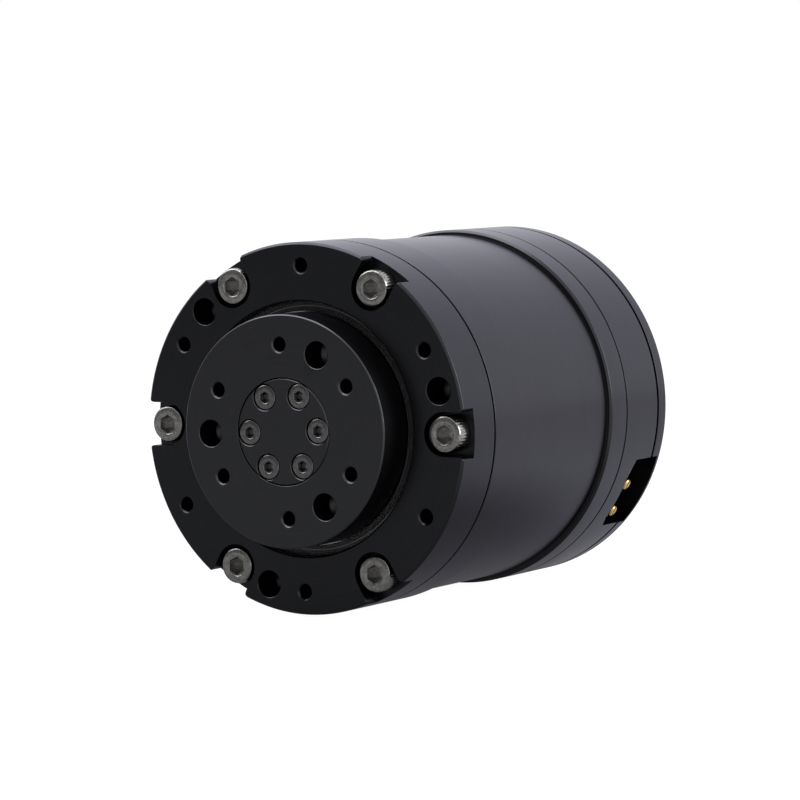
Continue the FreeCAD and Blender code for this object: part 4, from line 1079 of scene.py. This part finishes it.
@dataclass
class Connector:
    """The contacts in the connector window.

    Attributes:
        contact: The radius of a power contact.
        spacing: The spacing of the power contacts.
        offset: How far the middle of the pair lies to the side.
        depth: The depth of the power contacts.
        root: The radius where the contacts leave the shell's floor.
        tip: The radius where they end.
        rounding: The width of a contact's rounded tip.
        slit: The width of the slit in a contact.
        slit_length: The length of the tool that cuts it.
    """

    contact: float = 0.9
    spacing: float = 5.0
    offset: float = -0.9
    depth: float = 56.9
    root: float = 19.4
    tip: float = 28.0
    rounding: float = 0.3
    slit: float = 0.3
    slit_length: float = 6.0

    def build(self, shop: Workshop) -> None:
        """Model the split power contacts."""
        for number, side in enumerate((-0.5, 0.5), start=1):
            across = self.offset + side * self.spacing
            piece = self.contact_pin("power_contact_%d" % number, across)
            shop.fit(piece, "housing", "contact_gold", Palette.GOLD, "power_pins")

    def contact_pin(self, name: str, across: float) -> Piece:
        """Model one round contact with a rounded tip and a slit.

        Args:
            name: The contact's name.
            across: How far it lies to the side of the connector's middle.

        Returns:
            The contact.
        """
        piece = Bench.rod(name, 40, self.contact, self.tip - self.root,
                          Vector(((self.tip + self.root) / 2, self.depth, across)) * MM,
                          (0, math.pi / 2, 0))
        Bench.apply(piece, "BEVEL", width=self.rounding * MM, segments=4, limit_method="ANGLE",
                    angle_limit=math.radians(60))
        Bench.clear()
        bpy.ops.mesh.primitive_cube_add(size=MM, location=Vector(
            (self.tip + PAST - self.slit_length / 2, self.depth, across)) * MM)
        slit = bpy.context.object
        slit.scale = (self.slit_length, self.slit, self.contact * 4)
        Bench.bake(slit)
        Bench.cut(piece, [slit])
        Bench.finish(piece, edge=0.0, angle=50)
        piece.matrix_world = around(Barrel().window_turn)
        Bench.bake(piece)
        return piece


class Internals:
    """The CAD nodes that stay, each with its own finish."""

    FINISHES: dict[str, Finish] = {
        "ring_gear": Palette.GEAR,
        "output_bearing_outer_ring": Palette.BEARING,
        "output_bearing_inner_ring": Palette.BEARING,
        "output_bearing_rollers": Palette.BEARING,
        "output_carrier": Palette.CARRIER, "carrier_screws": Palette.DARK_OXIDE,
        "output_planet_pins": Palette.BEARING, "input_carrier": Palette.CARRIER,
        "input_planet_pins": Palette.BEARING, "output_sun": Palette.GEAR,
        "thrust_washer": Palette.PEEK, "rotor_bell": Palette.CARRIER,
        "rotor_magnets": Palette.NICKEL, "rotor_shaft": Palette.GEAR,
        "encoder_magnet": Palette.NICKEL, "bearing_spacer": Palette.BEARING,
        "rotor_bearing_outer_front": Palette.BEARING,
        "rotor_bearing_outer_rear": Palette.BEARING,
        "rotor_bearing_inner_front": Palette.BEARING,
        "rotor_bearing_inner_rear": Palette.BEARING,
        "stator_core": Palette.LAMINATED, "stator_windings": Palette.COPPER,
        "phase_leads": Palette.SLEEVE, "driver_board": Palette.BOARD,
        "board_screws": Palette.DARK_OXIDE, "encoder_chip": Palette.EPOXY,
        "board_components": Palette.EPOXY, "signal_pins": Palette.GOLD,
        "connector_shell": Palette.NYLON,
    }

    def build(self, shop: Workshop) -> None:
        """Dress every inner node and every planet with its bush."""
        for node, finish in self.FINISHES.items():
            shop.dress(node, finish)
        for stage in ("output", "input"):
            for number in (1, 2, 3):
                shop.dress("%s_planet_%d" % (stage, number), Palette.GEAR)
                shop.dress("%s_planet_bush_%d" % (stage, number), Palette.BRONZE)


# ---- studio

@dataclass(frozen=True)
class SoftBox:
    """A square soft light.

    Attributes:
        name: Its name.
        place: Where it stands in metres.
        size: Its side in metres.
        power: Its power in watts.
    """

    name: str
    place: Triple
    size: float
    power: float

    def build(self) -> None:
        """Stand the light so that it faces the actuator."""
        lamp = bpy.data.lights.new(self.name, "AREA")
        lamp.shape = "SQUARE"
        lamp.size = self.size
        lamp.energy = self.power
        stand = bpy.data.objects.new(self.name, lamp)
        bpy.context.scene.collection.objects.link(stand)
        stand.location = self.place
        aim = Vector((0, 0.03, 0)) - Vector(self.place)
        stand.rotation_euler = aim.to_track_quat("-Z", "Y").to_euler()


@dataclass
class Studio:
    """The camera, the white surroundings, the floor and the lights.

    Attributes:
        azimuth: How far the camera stands to the right of the output's axis.
        elevation: How far it stands above the axis.
        roll: How far it is rolled.
        distance: How far it stands from the aim.
        aim: What it looks at, in metres.
        lens: Its focal length in millimetres.
        ambient: The light that the surroundings give to a matt surface.
        dark_side: The direction of the studio's unlit side.
        dark_level: How bright that side is.
        dark_span: How far along that direction it starts, and where it is complete.
        floor_size: The floor's width in metres.
        floor_drop: How far below the actuator it lies, in metres.
        painted_floor_glow: How bright the open floor's painted glow looks in a mirror.
        painted_shadow_tone: How bright the painted shadow under the actuator looks in a mirror.
        shade_near: The distance from the origin where that painted shadow starts to lift.
        shade_far: The distance where the painted glow is at its brightest.
        painted_side_shade: How much of that painted glow the unlit side loses, as painted shade.
        paper_glow: How bright the lit floor looks.
        paper_share: How much of its look doesn't depend on the light.
        mirror_share: How much of its look in a mirror doesn't depend on the light.
    """

    azimuth: float = 31.02
    elevation: float = 4.347
    roll: float = -0.719
    distance: float = 0.5616
    aim: Triple = (0.01242, 0.00784, 0.00417)
    lens: float = 168.9
    ambient: float = 0.45
    dark_side: Triple = (-0.50, -0.86, 0.0)
    dark_level: float = 0.20
    dark_span: Pair = (0.25, 0.85)
    floor_size: float = 12.0
    floor_drop: float = 0.0002
    painted_floor_glow: float = 0.74
    painted_shadow_tone: float = 0.20
    shade_near: float = 0.045
    shade_far: float = 0.11
    painted_side_shade: float = 0.85
    paper_glow: float = 1.14
    paper_share: float = 0.86
    mirror_share: float = 0.85

    def build(self) -> None:
        """Set up the whole studio."""
        self.build_camera()
        self.build_world()
        self.build_floor()
        for box in (SoftBox("top_box", (-0.30, -0.02, 0.75), 0.8, 7.2),
                    SoftBox("side_box", (0.75, 0.25, 0.25), 0.5, 4.8),
                    SoftBox("left_box", (-0.55, -0.25, 0.45), 0.4, 1.2)):
            box.build()
        bpy.context.scene.view_settings.view_transform = "Standard"

    def build_camera(self) -> None:
        """Place the camera by its angles."""
        turn, tilt, roll = (math.radians(value)
                            for value in (self.azimuth, self.elevation, self.roll))
        back = Vector((math.sin(turn) * math.cos(tilt), -math.cos(turn) * math.cos(tilt),
                       math.sin(tilt)))
        level = Vector((math.cos(turn), math.sin(turn), 0))
        rise = back.cross(level)
        right = level * math.cos(roll) + rise * math.sin(roll)
        up = back.cross(right)
        camera = bpy.data.objects.new("camera", bpy.data.cameras.new("camera"))
        camera.data.lens = self.lens
        camera.data.sensor_width = SENSOR
        camera.data.clip_start = 0.01
        bpy.context.scene.collection.objects.link(camera)
        camera.matrix_world = Matrix.Translation(
            Vector(self.aim) + back * self.distance) @ Matrix(
                (right, up, back)).transposed().to_4x4()
        bpy.context.scene.camera = camera

    @staticmethod
    def glow(graph: Graph, kind: str, strength: float) -> Wire:
        """Return an even white light of a plain strength."""
        return graph.add(kind, None, {"Color": (1.0, 1.0, 1.0, 1.0), "Strength": strength})

    @staticmethod
    def mix(graph: Graph, factor: Wire, one: Wire, two: Wire) -> Wire:
        """Return two shaders mixed by a factor."""
        return graph.add("MixShader", None, {0: factor, 1: one, 2: two})

    def build_world(self) -> None:
        """Make the white surroundings, with the unlit studio in front of the output."""
        world = bpy.data.worlds.new("studio")
        bpy.context.scene.world = world
        world.use_nodes = True
        graph = Graph(world.node_tree)
        look = graph.add("TexCoord", output="Generated")
        seen, sharp = self.rays(graph)
        unlit = self.unlit(graph, look)
        white, dark, plain = (self.glow(graph, "Background", strength)
                              for strength in (1.0, self.dark_level, self.ambient))
        mirrored = self.mix(graph, unlit, white, dark)
        surface = self.mix(graph, seen, self.mix(graph, sharp, plain, mirrored), white)
        graph.add("OutputWorld", None, {"Surface": surface})

    def unlit(self, graph: Graph, direction: Wire) -> Wire:
        """Return how far a direction points into the studio's unlit side."""
        return graph.smooth(graph.along(direction, self.dark_side), *self.dark_span)

    @staticmethod
    def rays(graph: Graph) -> tuple[Wire, Wire]:
        """Return whether a ray comes from the camera and whether from a mirror or glass."""
        camera, glossy, clear = (
            graph.add("LightPath", output=name)
            for name in ("Is Camera Ray", "Is Glossy Ray", "Is Transmission Ray"))
        return camera, graph.maths("MAXIMUM", glossy, clear)

    def build_floor(self) -> None:
        """Lay a white floor that keeps a soft shadow and in mirrors shows painted glow and shade."""
        low = CAD_BOX[0].z
        Bench.clear()
        bpy.ops.mesh.primitive_plane_add(size=self.floor_size, location=(0, 0, low - self.floor_drop))
        floor = bpy.context.object
        floor.name = "floor"
        material = bpy.data.materials.new("floor_paper")
        material.use_nodes = True
        graph = Graph(material.node_tree)
        seen, sharp = self.rays(graph)
        place = graph.add("TexCoord", output="Object")
        x, y, _ = graph.parts(place)
        unlit = self.unlit(graph, graph.vector("NORMALIZE", place))
        # Painted shade: near the actuator the floor's glow in a mirror is dimmed as a painted shadow.
        # On the studio's unlit side it is dimmed as the world is.
        away = graph.smooth(graph.length(x, y), self.shade_near, self.shade_far) * (
            1.0 - unlit * self.painted_side_shade)
        paper = graph.add("BsdfPrincipled", None, {
            "Base Color": (0.8, 0.8, 0.8, 1.0), "Roughness": 1.0, "Specular IOR Level": 0.0})
        bright, under, open_floor = (self.glow(graph, "Emission", strength)
                                     for strength in (self.paper_glow, self.painted_shadow_tone,
                                                      self.painted_floor_glow))
        lit = self.mix(graph, seen * self.paper_share, paper, bright)
        # In a mirror the floor shows a painted glow instead of its lit paper, dim as a painted shadow
        # under the actuator.
        mirrored = self.mix(graph, away, under, open_floor)
        surface = self.mix(graph, sharp * self.mirror_share, lit, mirrored)
        graph.add("OutputMaterial", None, {"Surface": surface})
        floor.data.materials.append(material)


def main() -> None:
    """Build the studio and every piece."""
    logging.basicConfig(level=logging.INFO, format="%(name)s %(message)s")
    Studio().build()
    shop = Workshop()
    for part in (FrontFlange(), Barrel(), OutputDisc(), DustShield(), Screws(), Connector(),
                 Internals()):
        part.build(shop)
    Bench.clear()


if __name__ == "__main__":
    main()
